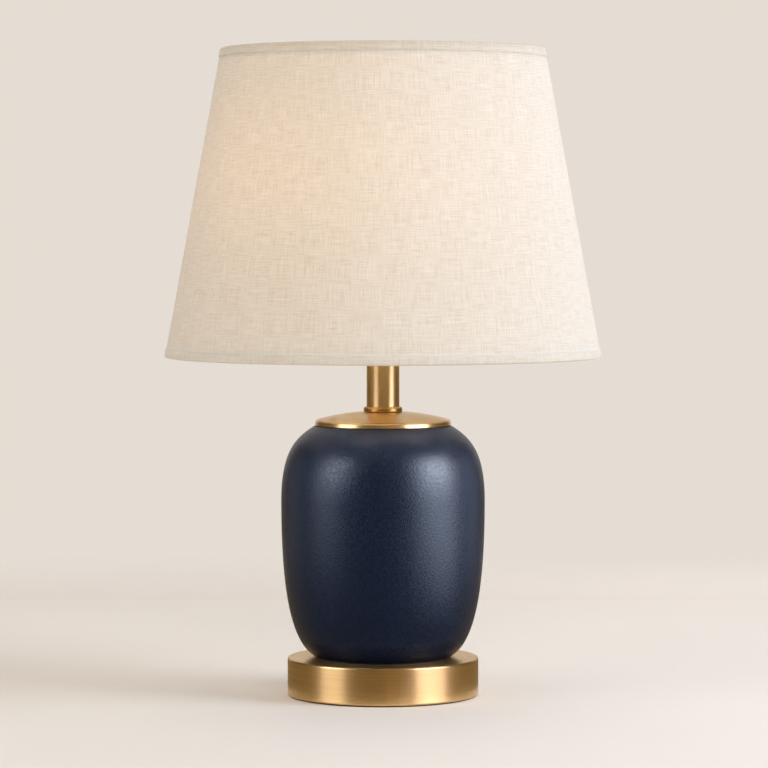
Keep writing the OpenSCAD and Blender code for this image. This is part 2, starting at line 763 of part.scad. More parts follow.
// Turned hub across the top of the harp, with the seat for the shade and the finial's stud
module harp_hub() {
    stud_depth = 0.3;
    stud_pitch = 1;
    color(plated) difference() {
        translate([0, 0, harp_seat_z]) rotate_extrude() polygon(concat(
            [[0, -hub_h], [hub_r - 0.6, -hub_h], [hub_r, 0.6 - hub_h], [hub_r, -hub_flange_t],
                [hub_flange_r, -hub_flange_t], [hub_flange_r, 0], [stud_d / 2 - stud_depth, 0]],
            [for (p = thread_teeth(stud_d / 2, stud_depth, stud_pitch, 1, stud_l - 2)) p],
            [[stud_d / 2 - 0.8, stud_l], [0, stud_l]]
        ));
        translate([0, 0, harp_seat_z - hub_wire_drop]) rotate([0, 90, 0])
            cylinder(r = wire_r + fit_gap, h = 4 * hub_r, center = true);
    }
}

module ferrule(side) {
    color(plated) translate([side * ferrule_x, 0, ferrule_z]) difference() {
        cylinder(r = ferrule_bore_r + ferrule_wall, h = ferrule_l);
        translate([0, 0, -1]) cylinder(r = ferrule_bore_r, h = ferrule_l + 2);
    }
}

// Turned finial with a blind thread that runs down on the harp's stud
module finial() {
    ball_r = finial_h * 0.36;
    color(brass) translate([0, 0, finial_z]) difference() {
        union() {
            rotate_extrude() disc_section(7.5, 2.4, 1, 0.3);
            cylinder(r1 = 5.2, r2 = 3.9, h = finial_h - 2 * ball_r + 2);
            translate([0, 0, finial_h - ball_r]) sphere(r = ball_r);
        }
        translate([0, 0, -1]) cylinder(r = stud_d / 2 + fit_gap, h = stud_l);
    }
}

module spider_washer() {
    color(plated) ring(spider_washer_r, washer_hole_r, harp_seat_z, spider_washer_t);
}

// The spider's arms along their centrelines: level from the washer, then up to the top ring
module arm_lines(r) {
    slope_run = [top_wire.x - knuckle_r, top_wire.y - spider_z];
    slope = atan2(slope_run.y, slope_run.x);
    corner = arm_bend_r * tan(slope / 2);
    start = spider_washer_r - 1;
    steps = [[knuckle_r - start - corner], [arm_bend_r, slope], [norm(slope_run) - corner]];
    for (i = [0 : arm_count - 1]) rotate(90 + 360 * i / arm_count)
        translate([start, 0, spider_z]) rotate([90, 0, 0]) wire_path(steps, r);
}

module ring_wire(at, r) {
    rotate_extrude() translate(at) circle(r);
}

module spider_arms() {
    color(plated) difference() {
        arm_lines(arm_r);
        ring_wire(top_wire, ring_r + cloth_gap);
        translate([0, 0, harp_seat_z - 5]) cylinder(r = spider_washer_r + cloth_gap, h = 12);
    }
}

module top_ring_wire() {
    color(plated) ring_wire(top_wire, ring_r);
}

module bottom_ring_wire() {
    color(plated) ring_wire(bottom_wire, ring_r);
}

// Conical sheet between the two hems, from one distance out of the linen's face to another
module shade_sheet(v_in, v_out, inset) {
    rotate_extrude() polygon([
        edge_point(true, inset, v_in), edge_point(true, inset, v_out),
        edge_point(false, inset, v_out), edge_point(false, inset, v_in)
    ]);
}

module shade_liner() {
    color(ivory) shade_sheet(liner_v - liner_t, liner_v, hem_t + cloth_gap);
}

// Linen cover, doubled along its lapped seam at the back
module shade_cover() {
    color(linen) {
        shade_sheet(-cover_t, 0, hem_t + cloth_gap);
        intersection() {
            shade_sheet(-cover_t / 2, cover_t / 2, hem_w + 0.3);
            translate([-seam_w / 2, 0, shade_z]) cube([seam_w, shade_bottom_d, shade_h]);
        }
    }
}

// Folded hem: down the outside of the linen, over the edge, round the wire and back to the liner
module hem(at_top) {
    g = cloth_gap;
    back_v = liner_v - liner_t - g;
    round_r = ring_r + wire_gap;
    outer_r = round_r + hem_t;
    corner_r = 1.2;
    tuck_u = wire_u + 2.6 * ring_r;
    tuck_end = tuck_u + 3;
    to_tuck = [tuck_u - wire_u, back_v - wire_v];
    leave = 360 + atan2(to_tuck.y, to_tuck.x) - acos(round_r / norm(to_tuck));
    inner_line = concat(
        [[hem_w, g], [hem_t, g]],
        arc([wire_u, wire_v], round_r, 180, leave, 12),
        [[tuck_u, back_v], [tuck_end, back_v]]
    );
    outer_line = concat(
        [[tuck_end, back_v - hem_t], [tuck_u, back_v - hem_t]],
        arc([wire_u, wire_v], outer_r, leave, 180, 12),
        arc([corner_r, g + hem_t - corner_r], corner_r, 180, 90, 6),
        [[hem_w, g + hem_t]]
    );
    rotate_extrude() polygon([for (p = concat(inner_line, outer_line)) edge_point(at_top, p.x, p.y)]);
}

module top_hem() {
    color(linen) difference() {
        hem(true);
        arm_lines(arm_r + 0.15);
    }
}

module bottom_hem() {
    color(linen) hem(false);
}

felt_pad();
base_cover();
base_weight();
base_washer();
base_lock_washer();
base_nut();
cord_inlet_bush();
threaded_rod();
foot_gasket();
ceramic_jar();
cap_gasket();
jar_cap();
neck_collar();
neck_tube();
neck_plug();
harp_saddle();
saddle_lock_washer();
saddle_nut();
socket_cap();
socket_set_screw();
socket_shell();
socket_liner();
socket_body();
terminal_screws();
screw_shell();
centre_contact();
switch_spindle();
switch_knob();
bulb_contact();
bulb_insulator();
bulb_screw_cap();
bulb_glass();
bulb_stem();
bulb_filaments();
harp_wire();
harp_hub();
ferrule(-1);  // left_ferrule
ferrule(1);  // right_ferrule
finial();
spider_washer();
spider_arms();
top_ring_wire();
bottom_ring_wire();
shade_liner();
shade_cover();
top_hem();
bottom_hem();
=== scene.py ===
"""Bedside lamp: the studio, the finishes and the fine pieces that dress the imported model."""

from __future__ import annotations

import logging
import math
from collections.abc import Callable, Iterable, Sequence
from dataclasses import dataclass, field
from enum import Enum

import bmesh
import bpy
from mathutils import Matrix, Vector, noise

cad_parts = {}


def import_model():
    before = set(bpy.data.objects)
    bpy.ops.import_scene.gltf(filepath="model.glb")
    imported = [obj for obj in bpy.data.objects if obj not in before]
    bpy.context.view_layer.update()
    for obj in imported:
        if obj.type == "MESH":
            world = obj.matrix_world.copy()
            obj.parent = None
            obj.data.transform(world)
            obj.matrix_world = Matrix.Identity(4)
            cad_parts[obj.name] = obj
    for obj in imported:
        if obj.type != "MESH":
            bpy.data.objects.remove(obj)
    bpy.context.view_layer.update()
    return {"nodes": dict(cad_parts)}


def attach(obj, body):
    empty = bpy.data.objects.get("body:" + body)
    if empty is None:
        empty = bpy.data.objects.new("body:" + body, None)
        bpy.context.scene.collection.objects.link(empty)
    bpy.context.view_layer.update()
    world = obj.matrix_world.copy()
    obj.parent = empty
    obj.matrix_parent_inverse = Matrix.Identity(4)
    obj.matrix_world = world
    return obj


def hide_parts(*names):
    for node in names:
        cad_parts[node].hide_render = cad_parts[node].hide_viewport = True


log = logging.getLogger("lamp")

Colour = tuple[float, float, float]
Point = tuple[float, float]
Reading = float | bpy.types.NodeSocket

ON_AXIS = 1e-7  # a smaller radius, in metres, is a point on the axis


def linear(red: float, green: float, blue: float) -> Colour:
    """Turns a colour as a screen shows it, 0 to 255, into linear light.

    Args:
        red: Red, 0 to 255.
        green: Green, 0 to 255.
        blue: Blue, 0 to 255.

    Returns:
        The linear colour, 0 to 1.
    """
    def channel(value: float) -> float:
        """One channel in linear light."""
        part = value / 255
        return part / 12.92 if part <= 0.04045 else ((part + 0.055) / 1.055) ** 2.4

    return channel(red), channel(green), channel(blue)


def scaled(colour: Colour, share: float) -> Colour:
    """A colour made dimmer or brighter, up to white."""
    return tuple(min(1.0, share * part) for part in colour)


# ---- shader nodes


class NodeBench:
    """Places nodes in one tree and wires them as they are placed."""

    def __init__(self, tree: bpy.types.NodeTree) -> None:
        """Starts with the tree to work in."""
        self.tree = tree

    def place(self, kind: str, inputs: dict[str | int, object] | None = None, **settings: object) -> bpy.types.Node:
        """Adds a node.

        Args:
            kind: The node's type, such as ShaderNodeTexNoise.
            inputs: Values or sockets for its inputs, by name or by place.
            settings: Properties of the node itself.

        Returns:
            The new node.
        """
        node = self.tree.nodes.new(kind)
        for key, value in settings.items():
            setattr(node, key, value)
        self.feed_all(node, inputs or {})
        return node

    def feed(self, socket: bpy.types.NodeSocket, value: object) -> None:
        """Gives a socket a value, or wires another socket to it.

        Args:
            socket: The input to set.
            value: A number, a colour, a vector or an output socket.
        """
        if isinstance(value, bpy.types.NodeSocket):
            self.tree.links.new(value, socket)
        elif isinstance(value, tuple) and socket.type == "RGBA" and len(value) == 3:
            socket.default_value = (*value, 1.0)
        else:
            socket.default_value = value

    def feed_all(self, node: bpy.types.Node, inputs: dict[str | int, object]) -> None:
        """Feeds several inputs of a node, given by name or by place."""
        for key, value in inputs.items():
            self.feed(node.inputs[key], value)

    def math(self, operation: str, first: Reading, second: Reading = 0.0,
             third: Reading = 0.0) -> bpy.types.NodeSocket:
        """Adds one step of arithmetic.

        Args:
            operation: The Math node's operation.
            first: The first number.
            second: The second number.
            third: The third number.

        Returns:
            The result's socket.
        """
        node = self.place("ShaderNodeMath", operation=operation)
        for place, value in enumerate((first, second, third)):
            if place < len(node.inputs):
                self.feed(node.inputs[place], value)
        return node.outputs[0]

    def times(self, first: Reading, second: Reading) -> bpy.types.NodeSocket:
        """The product of two readings."""
        return self.math("MULTIPLY", first, second)

    def plus(self, first: Reading, second: Reading) -> bpy.types.NodeSocket:
        """The sum of two readings."""
        return self.math("ADD", first, second)

    def less(self, first: Reading, second: Reading) -> bpy.types.NodeSocket:
        """What is left of the first reading without the second."""
        return self.math("SUBTRACT", first, second)

    def over(self, first: Reading, second: Reading) -> bpy.types.NodeSocket:
        """The first reading divided by the second."""
        return self.math("DIVIDE", first, second)

    def weigh(self, *parts: tuple[Reading, float]) -> bpy.types.NodeSocket:
        """Adds readings up, each times its weight.

        Args:
            parts: Pairs of a reading and its weight.

        Returns:
            The sum's socket.
        """
        total = self.times(*parts[-1])
        for reading, weight in reversed(parts[:-1]):
            total = self.math("MULTIPLY_ADD", reading, weight, total)
        return total

    def vector(self, x: Reading, y: Reading, z: Reading = 0.0) -> bpy.types.NodeSocket:
        """A vector put together from three numbers."""
        return self.place("ShaderNodeCombineXYZ", {0: x, 1: y, 2: z}).outputs[0]

    def grain(self, at: bpy.types.NodeSocket, detail: float = 2.0, roughness: float = 0.5) -> bpy.types.NodeSocket:
        """Smooth noise whose cells are one unit of the given coordinates."""
        return self.place(
            "ShaderNodeTexNoise", {"Vector": at, "Scale": 1.0, "Detail": detail, "Roughness": roughness}
        ).outputs[0]

    def step(self, value: Reading, low: Reading, high: Reading, to_low: Reading = 0.0,
             to_high: Reading = 1.0) -> bpy.types.NodeSocket:
        """Maps a number softly from one span to another.

        Args:
            value: The number.
            low: Where the span starts.
            high: Where it ends.
            to_low: What the start becomes.
            to_high: What the end becomes.

        Returns:
            The mapped number's socket.
        """
        return self.place(
            "ShaderNodeMapRange", {0: value, 1: low, 2: high, 3: to_low, 4: to_high}, interpolation_type="SMOOTHSTEP"
        ).outputs[0]

    def blend(self, share: Reading, first: object, second: object) -> bpy.types.NodeSocket:
        """Mixes two colours.

        Args:
            share: 0 for the first, 1 for the second.
            first: A colour or its socket.
            second: A colour or its socket.

        Returns:
            The mixed colour's socket.
        """
        node = self.place("ShaderNodeMix", data_type="RGBA")
        self.feed(node.inputs[0], share)
        self.feed(node.inputs[6], first)
        self.feed(node.inputs[7], second)
        return node.outputs[2]

    def bump(self, height: bpy.types.NodeSocket, strength: float, depth: float) -> bpy.types.NodeSocket:
        """A normal raised by a height, whose full range is depth metres."""
        return self.place(
            "ShaderNodeBump", {"Height": height, "Strength": strength, "Distance": depth}
        ).outputs[0]

    def on_object(self) -> bpy.types.NodeSocket:
        """The place on the object, in metres."""
        return self.place("ShaderNodeTexCoord").outputs["Object"]

    def on_cloth(self) -> tuple[bpy.types.NodeSocket, bpy.types.NodeSocket]:
        """The place across and along the flat cloth, in metres."""
        parts = self.place("ShaderNodeSeparateXYZ", {0: self.place("ShaderNodeUVMap").outputs[0]}).outputs
        return parts[0], parts[1]

    def kept(self, patches: Reading, broken: Reading) -> bpy.types.NodeSocket:
        """What patches of noise leave of a mask."""
        return self.less(1.0, self.times(patches, broken))

    def between(self, value: Reading, first: float, last: float) -> bpy.types.NodeSocket:
        """Turns a reading of 0 to 1 into a number between two."""
        return self.step(value, 0.0, 1.0, first, last)

    def sight(self) -> tuple[bpy.types.NodeSocket, bpy.types.NodeSocket]:
        """Tells which rays look at a surface, rather than gather light from it.

        Returns:
            1 for a ray seen straight, in gloss or through glass, and 1 for one seen in gloss alone.
        """
        path = self.place("ShaderNodeLightPath").outputs
        seen = self.math("MAXIMUM", self.math("MAXIMUM", path["Is Camera Ray"], path["Is Glossy Ray"]),
                         path["Is Transmission Ray"])
        return seen, path["Is Glossy Ray"]


class Effect(Enum):
    """Surface effects that several finishes share."""

    TURNED_BRUSH = "Turned Brush"
    WEAVE = "Linen Weave"
    MOTTLE = "Mottle"
    EDGE_WEAR = "Edge Wear"
    CLOTH_LINE = "Cloth Line"


class EffectShelf:
    """Builds each shared effect once, as a node group, and places copies of it."""

    def __init__(self) -> None:
        """Starts with nothing built."""
        self.built: dict[Effect, bpy.types.NodeTree] = {}
        self.makers: dict[Effect, Callable[[], bpy.types.NodeTree]] = {
            Effect.TURNED_BRUSH: self.turned_brush,
            Effect.WEAVE: self.weave,
            Effect.MOTTLE: self.mottle,
            Effect.EDGE_WEAR: self.edge_wear,
            Effect.CLOTH_LINE: self.cloth_line,
        }

    def put(self, bench: NodeBench, effect: Effect, **values: object) -> bpy.types.NodeOutputs:
        """Places an effect in a material.

        Args:
            bench: The material's bench.
            effect: Which effect.
            values: The group's inputs, with underscores for spaces.

        Returns:
            The group's outputs.
        """
        if effect not in self.built:
            self.built[effect] = self.makers[effect]()
        node = bench.place("ShaderNodeGroup", node_tree=self.built[effect])
        for key, value in values.items():
            bench.feed(node.inputs[key.replace("_", " ")], value)
        return node.outputs

    @staticmethod
    def empty(effect: Effect, inputs: dict[str, float],
              outputs: Sequence[str]) -> tuple[NodeBench, bpy.types.Node, bpy.types.Node]:
        """A group with its sockets and nothing inside.

        Args:
            effect: Whose group it is.
            inputs: Names and usual values of its number inputs.
            outputs: Names of its number outputs.

        Returns:
            A bench for it, its input node and its output node.
        """
        tree = bpy.data.node_groups.new(effect.value, "ShaderNodeTree")
        for name, usual in inputs.items():
            socket = tree.interface.new_socket(name=name, in_out="INPUT", socket_type="NodeSocketFloat")
            socket.default_value = usual
        for name in outputs:
            tree.interface.new_socket(name=name, in_out="OUTPUT", socket_type="NodeSocketFloat")
        bench = NodeBench(tree)
        return bench, bench.place("NodeGroupInput"), bench.place("NodeGroupOutput")

    def turned_brush(self) -> bpy.types.NodeTree:
        """Fine lines that run round the lamp's axis, as a lathe and an abrasive pad leave them.

        Returns:
            The group.
        """
        bench, given, result = self.empty(
            Effect.TURNED_BRUSH, {"Pitch": 0.0006, "Arc": 0.05}, ("Tone", "Height"))
        x, y, z = bench.place("ShaderNodeSeparateXYZ", {0: bench.on_object()}).outputs
        pitch, arc = given.outputs["Pitch"], given.outputs["Arc"]
        broad_rate, broad_pitches = 9.0, 5.0
        radius = bench.math("SQRT", bench.plus(bench.times(x, x), bench.times(y, y)))
        across = bench.plus(z, radius)
        fine = bench.grain(bench.vector(
            bench.over(x, arc), bench.over(y, arc), bench.over(across, pitch)), 3.0, 0.65)
        broad = bench.grain(bench.vector(
            bench.times(x, broad_rate), bench.times(y, broad_rate),
            bench.over(across, bench.times(pitch, broad_pitches))), 2.0, 0.5)
        bench.feed(result.inputs["Tone"], bench.step(bench.weigh((fine, 0.65), (broad, 0.35)), 0.34, 0.66))
        bench.feed(result.inputs["Height"], fine)
        return bench.tree

    def weave(self) -> bpy.types.NodeTree:
        """Plain weave on a map in metres: uneven threads both ways, with thick short slubs.

        Returns:
            The group.
        """
        bench, given, result = self.empty(
            Effect.WEAVE, {"Pitch": 0.0016, "Wander": 0.35, "Slubs": 1.0}, ("Tone", "Height", "Slub"))
        across, along = bench.on_cloth()
        drift_rate, thread_rate, slub_rate, patch_rates = 55.0, 55.0, 120.0, (95.0, 60.0)  # cells a metre
        uneven_cells, slub_cells = 2.1, 1.3  # cells a thread
        unlike = 41.7  # threads between the part of the noise that the warp shows and the weft's
        drift = bench.grain(bench.vector(
            bench.times(across, drift_rate), bench.times(along, drift_rate)))
        drift = bench.times(bench.less(drift, 0.5), given.outputs["Wander"])
        warp = bench.plus(bench.over(across, given.outputs["Pitch"]), drift)
        weft = bench.less(bench.over(along, given.outputs["Pitch"]), drift)
        ridges = [bench.math(
            "MULTIPLY_ADD", bench.math("COSINE", bench.times(thread, 2 * math.pi)), 0.5, 0.5)
            for thread in (warp, weft)]
        crossing = bench.times(*(bench.math("COSINE", bench.times(thread, math.pi)) for thread in (warp, weft)))
        upper = bench.step(crossing, -0.35, 0.35)
        height = bench.plus(bench.times(ridges[0], upper), bench.times(ridges[1], bench.less(1.0, upper)))
        uneven, slubs = [], []
        for thread, run, shift in ((warp, along, 0.0), (weft, across, unlike)):
            moved = bench.plus(thread, shift)
            uneven.append(bench.grain(bench.vector(
                bench.times(moved, uneven_cells), bench.times(run, thread_rate), 0.0), 2.0, 0.6))
            spots = bench.grain(bench.vector(
                bench.times(moved, slub_cells), bench.times(run, slub_rate), 7.3), 0.0)
            slubs.append(bench.step(spots, 0.64, 0.80))
        slub = bench.times(bench.math("MAXIMUM", *slubs), given.outputs["Slubs"])
        patches = bench.grain(bench.vector(
            bench.times(across, patch_rates[0]), bench.times(along, patch_rates[1]), 2.9), 2.0, 0.6)
        tone = bench.plus(bench.times(bench.plus(*uneven), 0.47), bench.times(patches, 0.06))
        bench.feed_all(result, {"Tone": bench.step(tone, 0.36, 0.64), "Slub": slub,
                                "Height": bench.math("MULTIPLY_ADD", slub, 0.8, height)})
        return bench.tree

    def mottle(self) -> bpy.types.NodeTree:
        """Soft clouds and fine specks of one size, for cast, moulded, fired and felted surfaces.

        Returns:
            The group.
        """
        bench, given, result = self.empty(
            Effect.MOTTLE, {"Cloud Size": 0.02, "Speck Size": 0.001, "Seed": 0.0}, ("Cloud", "Speck"))
        seed = given.outputs["Seed"]
        shifted = bench.place("ShaderNodeVectorMath", {0: bench.on_object(), 1: bench.vector(seed, seed, seed)},
                              operation="ADD").outputs[0]
        for name, size in (("Cloud", "Cloud Size"), ("Speck", "Speck Size")):
            spread = bench.place("ShaderNodeVectorMath", {
                0: shifted, "Scale": bench.over(1.0, given.outputs[size])}, operation="SCALE").outputs[0]
            bench.feed(result.inputs[name], bench.step(bench.grain(spread, 2.0, 0.55), 0.3, 0.7))
        return bench.tree

    def edge_wear(self) -> bpy.types.NodeTree:
        """How far an outer edge is rubbed: 1 on the edge, 0 away from it, broken up by noise.

        Returns:
            The group.
        """
        bench, given, result = self.empty(Effect.EDGE_WEAR, {"Amount": 1.0, "Break Up": 0.4}, ("Mask",))
        rubbed_from, rubbed_to, patch_rate = 0.505, 0.56, 160.0
        edge = bench.step(bench.place("ShaderNodeNewGeometry").outputs["Pointiness"], rubbed_from, rubbed_to)
        patches = bench.grain(bench.place("ShaderNodeVectorMath", {0: bench.on_object(), "Scale": patch_rate},
                                          operation="SCALE").outputs[0], 3.0, 0.6)
        rubbed = bench.times(edge, bench.kept(patches, given.outputs["Break Up"]))
        bench.feed(result.inputs["Mask"], bench.times(rubbed, given.outputs["Amount"]))
        return bench.tree

    def cloth_line(self) -> bpy.types.NodeTree:
        """A soft line that runs across a cloth's map at one height: 1 in its middle, 0 beyond its half width.

        Returns:
            The group.
        """
        bench, given, result = self.empty(
            Effect.CLOTH_LINE, {"Place": 0.0, "Half Width": 0.001, "Break Up": 0.3}, ("Mask",))
        patch_rate = 260.0
        across, along = bench.on_cloth()
        away = bench.over(bench.math("ABSOLUTE", bench.less(along, given.outputs["Place"])),
                          given.outputs["Half Width"])
        line = bench.step(away, 0.2, 1.0, 1.0, 0.0)
        patches = bench.grain(bench.vector(
            bench.times(across, patch_rate), bench.times(along, patch_rate), 5.1), 2.0, 0.6)
        bench.feed(result.inputs["Mask"], bench.times(line, bench.kept(patches, given.outputs["Break Up"])))
        return bench.tree


SHELF = EffectShelf()


def new_material(name: str) -> tuple[bpy.types.Material, NodeBench, bpy.types.Node]:
    """Starts a material with one Principled shader.

    Args:
        name: The material's name.

    Returns:
        The material, a bench for its nodes and the shader.
    """
    material = bpy.data.materials.new(name)
    material.use_nodes = True
    bench = NodeBench(material.node_tree)
    shader = material.node_tree.nodes["Principled BSDF"]
    return material, bench, shader


# ---- finishes


@dataclass(frozen=True)
class TurnedBrass:
    """Solid or spun brass, brushed round the lamp's axis and lacquered matte."""

    name: str
    light: Colour = linear(226, 192, 138)
    dark: Colour = linear(204, 167, 110)
    roughness: float = 0.31
    swing: float = 0.035
    pitch: float = 0.0008
    arc: float = 0.04
    line_depth: float = 0.000012
    line_strength: float = 0.35
    stretch: float = 0.6
    quarter_turn: float = 0.25
    rubbed: Colour = linear(246, 212, 154)

    def build(self) -> bpy.types.Material:
        """Makes the material.

        Returns:
            The new material.
        """
        material, bench, shader = new_material(self.name)
        lines = SHELF.put(bench, Effect.TURNED_BRUSH, Pitch=self.pitch, Arc=self.arc)
        cloud = SHELF.put(bench, Effect.MOTTLE, Cloud_Size=0.03, Speck_Size=0.0012)
        wear = SHELF.put(bench, Effect.EDGE_WEAR, Amount=0.8, Break_Up=0.3)
        colour = bench.blend(bench.weigh((lines["Tone"], 0.7), (cloud["Cloud"], 0.3)), self.dark, self.light)
        bench.feed_all(shader, {
            "Base Color": bench.blend(wear["Mask"], colour, self.rubbed),
            "Metallic": 1.0,
            "Roughness": bench.between(lines["Tone"], self.roughness + self.swing, self.roughness - self.swing),
            "Anisotropic": self.stretch,
            "Tangent": bench.place("ShaderNodeTangent", direction_type="RADIAL", axis="Z").outputs[0],
            "Anisotropic Rotation": self.quarter_turn,
            "Normal": bench.bump(lines["Height"], self.line_strength, self.line_depth)})
        return material


@dataclass(frozen=True)
class PlainMetal:
    """Drawn, pressed or plated metal with a soft sheen and faint clouds."""

    name: str
    light: Colour
    dark: Colour
    roughness: float = 0.28
    cloud: float = 0.008
    speck: float = 0.0009
    depth: float = 0.00002
    bump_strength: float = 0.3
    rubbed: float = 1.15

    def build(self) -> bpy.types.Material:
        """Makes the material.

        Returns:
            The new material.
        """
        material, bench, shader = new_material(self.name)
        mottle = SHELF.put(bench, Effect.MOTTLE, Cloud_Size=self.cloud, Speck_Size=self.speck)
        wear = SHELF.put(bench, Effect.EDGE_WEAR, Amount=0.5, Break_Up=0.5)
        colour = bench.blend(mottle["Cloud"], self.dark, self.light)
        bench.feed_all(shader, {
            "Base Color": bench.blend(wear["Mask"], colour, scaled(self.light, self.rubbed)),
            "Metallic": 1.0,
            "Roughness": bench.between(mottle["Speck"], self.roughness - 0.05, self.roughness + 0.06),
            "Normal": bench.bump(mottle["Speck"], self.bump_strength, self.depth)})
        return material


@dataclass(frozen=True)
class Moulded:
    """Moulded, cast, pressed or felted matter without a metal's shine."""

    name: str
    light: Colour
    dark: Colour
    roughness: float
    cloud: float = 0.012
    speck: float = 0.0006
    depth: float = 0.00004
    bump_strength: float = 0.4
    shine: float = 0.5
    sheen: float = 0.0

    def build(self) -> bpy.types.Material:
        """Makes the material.

        Returns:
            The new material.
        """
        material, bench, shader = new_material(self.name)
        mottle = SHELF.put(bench, Effect.MOTTLE, Cloud_Size=self.cloud, Speck_Size=self.speck)
        share = bench.weigh((mottle["Cloud"], 0.6), (mottle["Speck"], 0.4))
        bench.feed_all(shader, {
            "Base Color": bench.blend(share, self.dark, self.light),
            "Roughness": bench.between(mottle["Speck"], self.roughness - 0.04, min(1.0, self.roughness + 0.05)),
            "Specular IOR Level": self.shine,
            "Sheen Weight": self.sheen,
            "Normal": bench.bump(mottle["Speck"], self.bump_strength, self.depth)})
        return material


@dataclass(frozen=True)
class NavyGlaze:
    """Semi-matte navy glaze with a fine eggshell texture."""

    name: str = "navy glaze"
    deep: Colour = linear(1, 15, 44)
    worn: Colour = linear(3, 20, 51)
    roughness: float = 0.36
    mirror: Colour = (0.60, 0.78, 0.96)
    shine: float = 0.45
    fine_grain: float = 0.0011
    broad_grain: float = 0.0018
    depth: float = 0.00013
    bump_strength: float = 0.5

    def build(self) -> bpy.types.Material:
        """Makes the material.

        Returns:
            The new material.
        """
        material, bench, shader = new_material(self.name)
        fine = SHELF.put(bench, Effect.MOTTLE, Cloud_Size=0.0035, Speck_Size=self.fine_grain)
        broad = SHELF.put(bench, Effect.MOTTLE, Cloud_Size=0.03, Speck_Size=self.broad_grain, Seed=0.4)
        share = bench.weigh((fine["Speck"], 0.35), (broad["Cloud"], 0.35), (fine["Cloud"], 0.3))
        rough = bench.weigh((fine["Speck"], 0.5), (broad["Speck"], 0.5))
        height = bench.weigh((fine["Speck"], 0.6), (broad["Speck"], 0.4))
        bench.feed_all(shader, {
            "Base Color": bench.blend(share, self.deep, self.worn),
            "Roughness": bench.between(rough, self.roughness - 0.06, self.roughness + 0.08),
            "Specular IOR Level": self.shine,
            "Specular Tint": self.mirror,
            "Normal": bench.bump(height, self.bump_strength, self.depth)})
        return material


@dataclass(frozen=True)
class ClothLine:
    """A line across the cloth: its height on the map, half its width, its colour and how strong it is."""

    place: float
    half_width: float
    colour: Colour
    share: float
    break_up: float = 0.5


@dataclass(frozen=True)
class Linen:
    """Oatmeal linen in plain weave, through which light glows warm."""

    name: str
    lines: tuple[ClothLine, ...] = ()
    light: Colour = linear(244, 236, 224)
    dark: Colour = linear(230, 217, 200)
    slub: Colour = linear(203, 183, 156)
    pitch: float = 0.0013
    glow: float = 0.6
    reach: Colour = (0.0014, 0.0014, 0.0014)
    wander: float = 0.2
    gap_shade_share: float = 0.2
    slub_share: float = 0.27
    relief: float = 0.00018
    relief_strength: float = 0.5

    def build(self) -> bpy.types.Material:
        """Makes the material.

        Returns:
            The new material.
        """
        material, bench, shader = new_material(self.name)
        weave = SHELF.put(bench, Effect.WEAVE, Pitch=self.pitch, Wander=self.wander, Slubs=1.0)
        colour = bench.blend(weave["Tone"], self.dark, self.light)
        # Painted shade: the low places between the threads are darkened towards the slub colour.
        thread_gap_shade = bench.less(1.0, bench.step(weave["Height"], 0.0, 0.55))
        for mask, share in ((thread_gap_shade, self.gap_shade_share), (weave["Slub"], self.slub_share)):
            colour = bench.blend(bench.times(mask, share), colour, self.slub)
        for line in self.lines:
            mask = SHELF.put(bench, Effect.CLOTH_LINE, Place=line.place, Half_Width=line.half_width,
                             Break_Up=line.break_up)["Mask"]
            colour = bench.blend(bench.times(mask, line.share), colour, line.colour)
        bench.feed_all(shader, {
            "Base Color": colour,
            "Roughness": bench.between(weave["Tone"], 0.92, 0.8),
            "Specular IOR Level": 0.15,
            "Sheen Weight": 0.08,
            "Sheen Roughness": 0.5,
            "Subsurface Weight": self.glow,
            "Subsurface Radius": self.reach,
            "Subsurface Scale": 1.0,
            "Normal": bench.bump(weave["Height"], self.relief_strength, self.relief)})
        return material


@dataclass(frozen=True)
class LinerSheet:
    """Stiff translucent sheet that the linen is bonded to."""

    name: str = "shade liner"
    tone: Colour = linear(244, 238, 226)
    glow: float = 0.8
    reach: Colour = (0.003, 0.0022, 0.0014)

    def build(self) -> bpy.types.Material:
        """Makes the material.

        Returns:
            The new material.
        """
        material, bench, shader = new_material(self.name)
        mottle = SHELF.put(bench, Effect.MOTTLE, Cloud_Size=0.05, Speck_Size=0.0015)
        bench.feed_all(shader, {
            "Base Color": bench.blend(mottle["Cloud"], scaled(self.tone, 0.93), self.tone),
            "Roughness": bench.between(mottle["Speck"], 0.5, 0.6),
            "Subsurface Weight": self.glow,
            "Subsurface Radius": self.reach,
            "Subsurface Scale": 1.0})
        return material


@dataclass(frozen=True)
class Glass:
    """Glass of the bulb, clear or frosted."""

    name: str
    tint: Colour
    roughness: float
    clear: float
    bend: float = 1.45

    def build(self) -> bpy.types.Material:
        """Makes the material.

        Returns:
            The new material.
        """
        material, bench, shader = new_material(self.name)
        mottle = SHELF.put(bench, Effect.MOTTLE, Cloud_Size=0.02, Speck_Size=0.0008)
        bench.feed_all(shader, {
            "Base Color": bench.blend(mottle["Cloud"], scaled(self.tint, 0.95), self.tint),
            "Roughness": bench.between(mottle["Speck"], self.roughness, self.roughness + 0.05),
            "Transmission Weight": self.clear,
            "IOR": self.bend})
        return material


# ---- mesh making


def from_form(name: str, form: bmesh.types.BMesh) -> bpy.types.Object:
    """Turns a finished form into an object, and frees the form.

    Args:
        name: The object's name.
        form: Its faces.

    Returns:
        The new object, in the scene.
    """
    mesh = bpy.data.meshes.new(name)
    form.to_mesh(mesh)
    form.free()
    piece = bpy.data.objects.new(name, mesh)
    bpy.context.collection.objects.link(piece)
    return piece


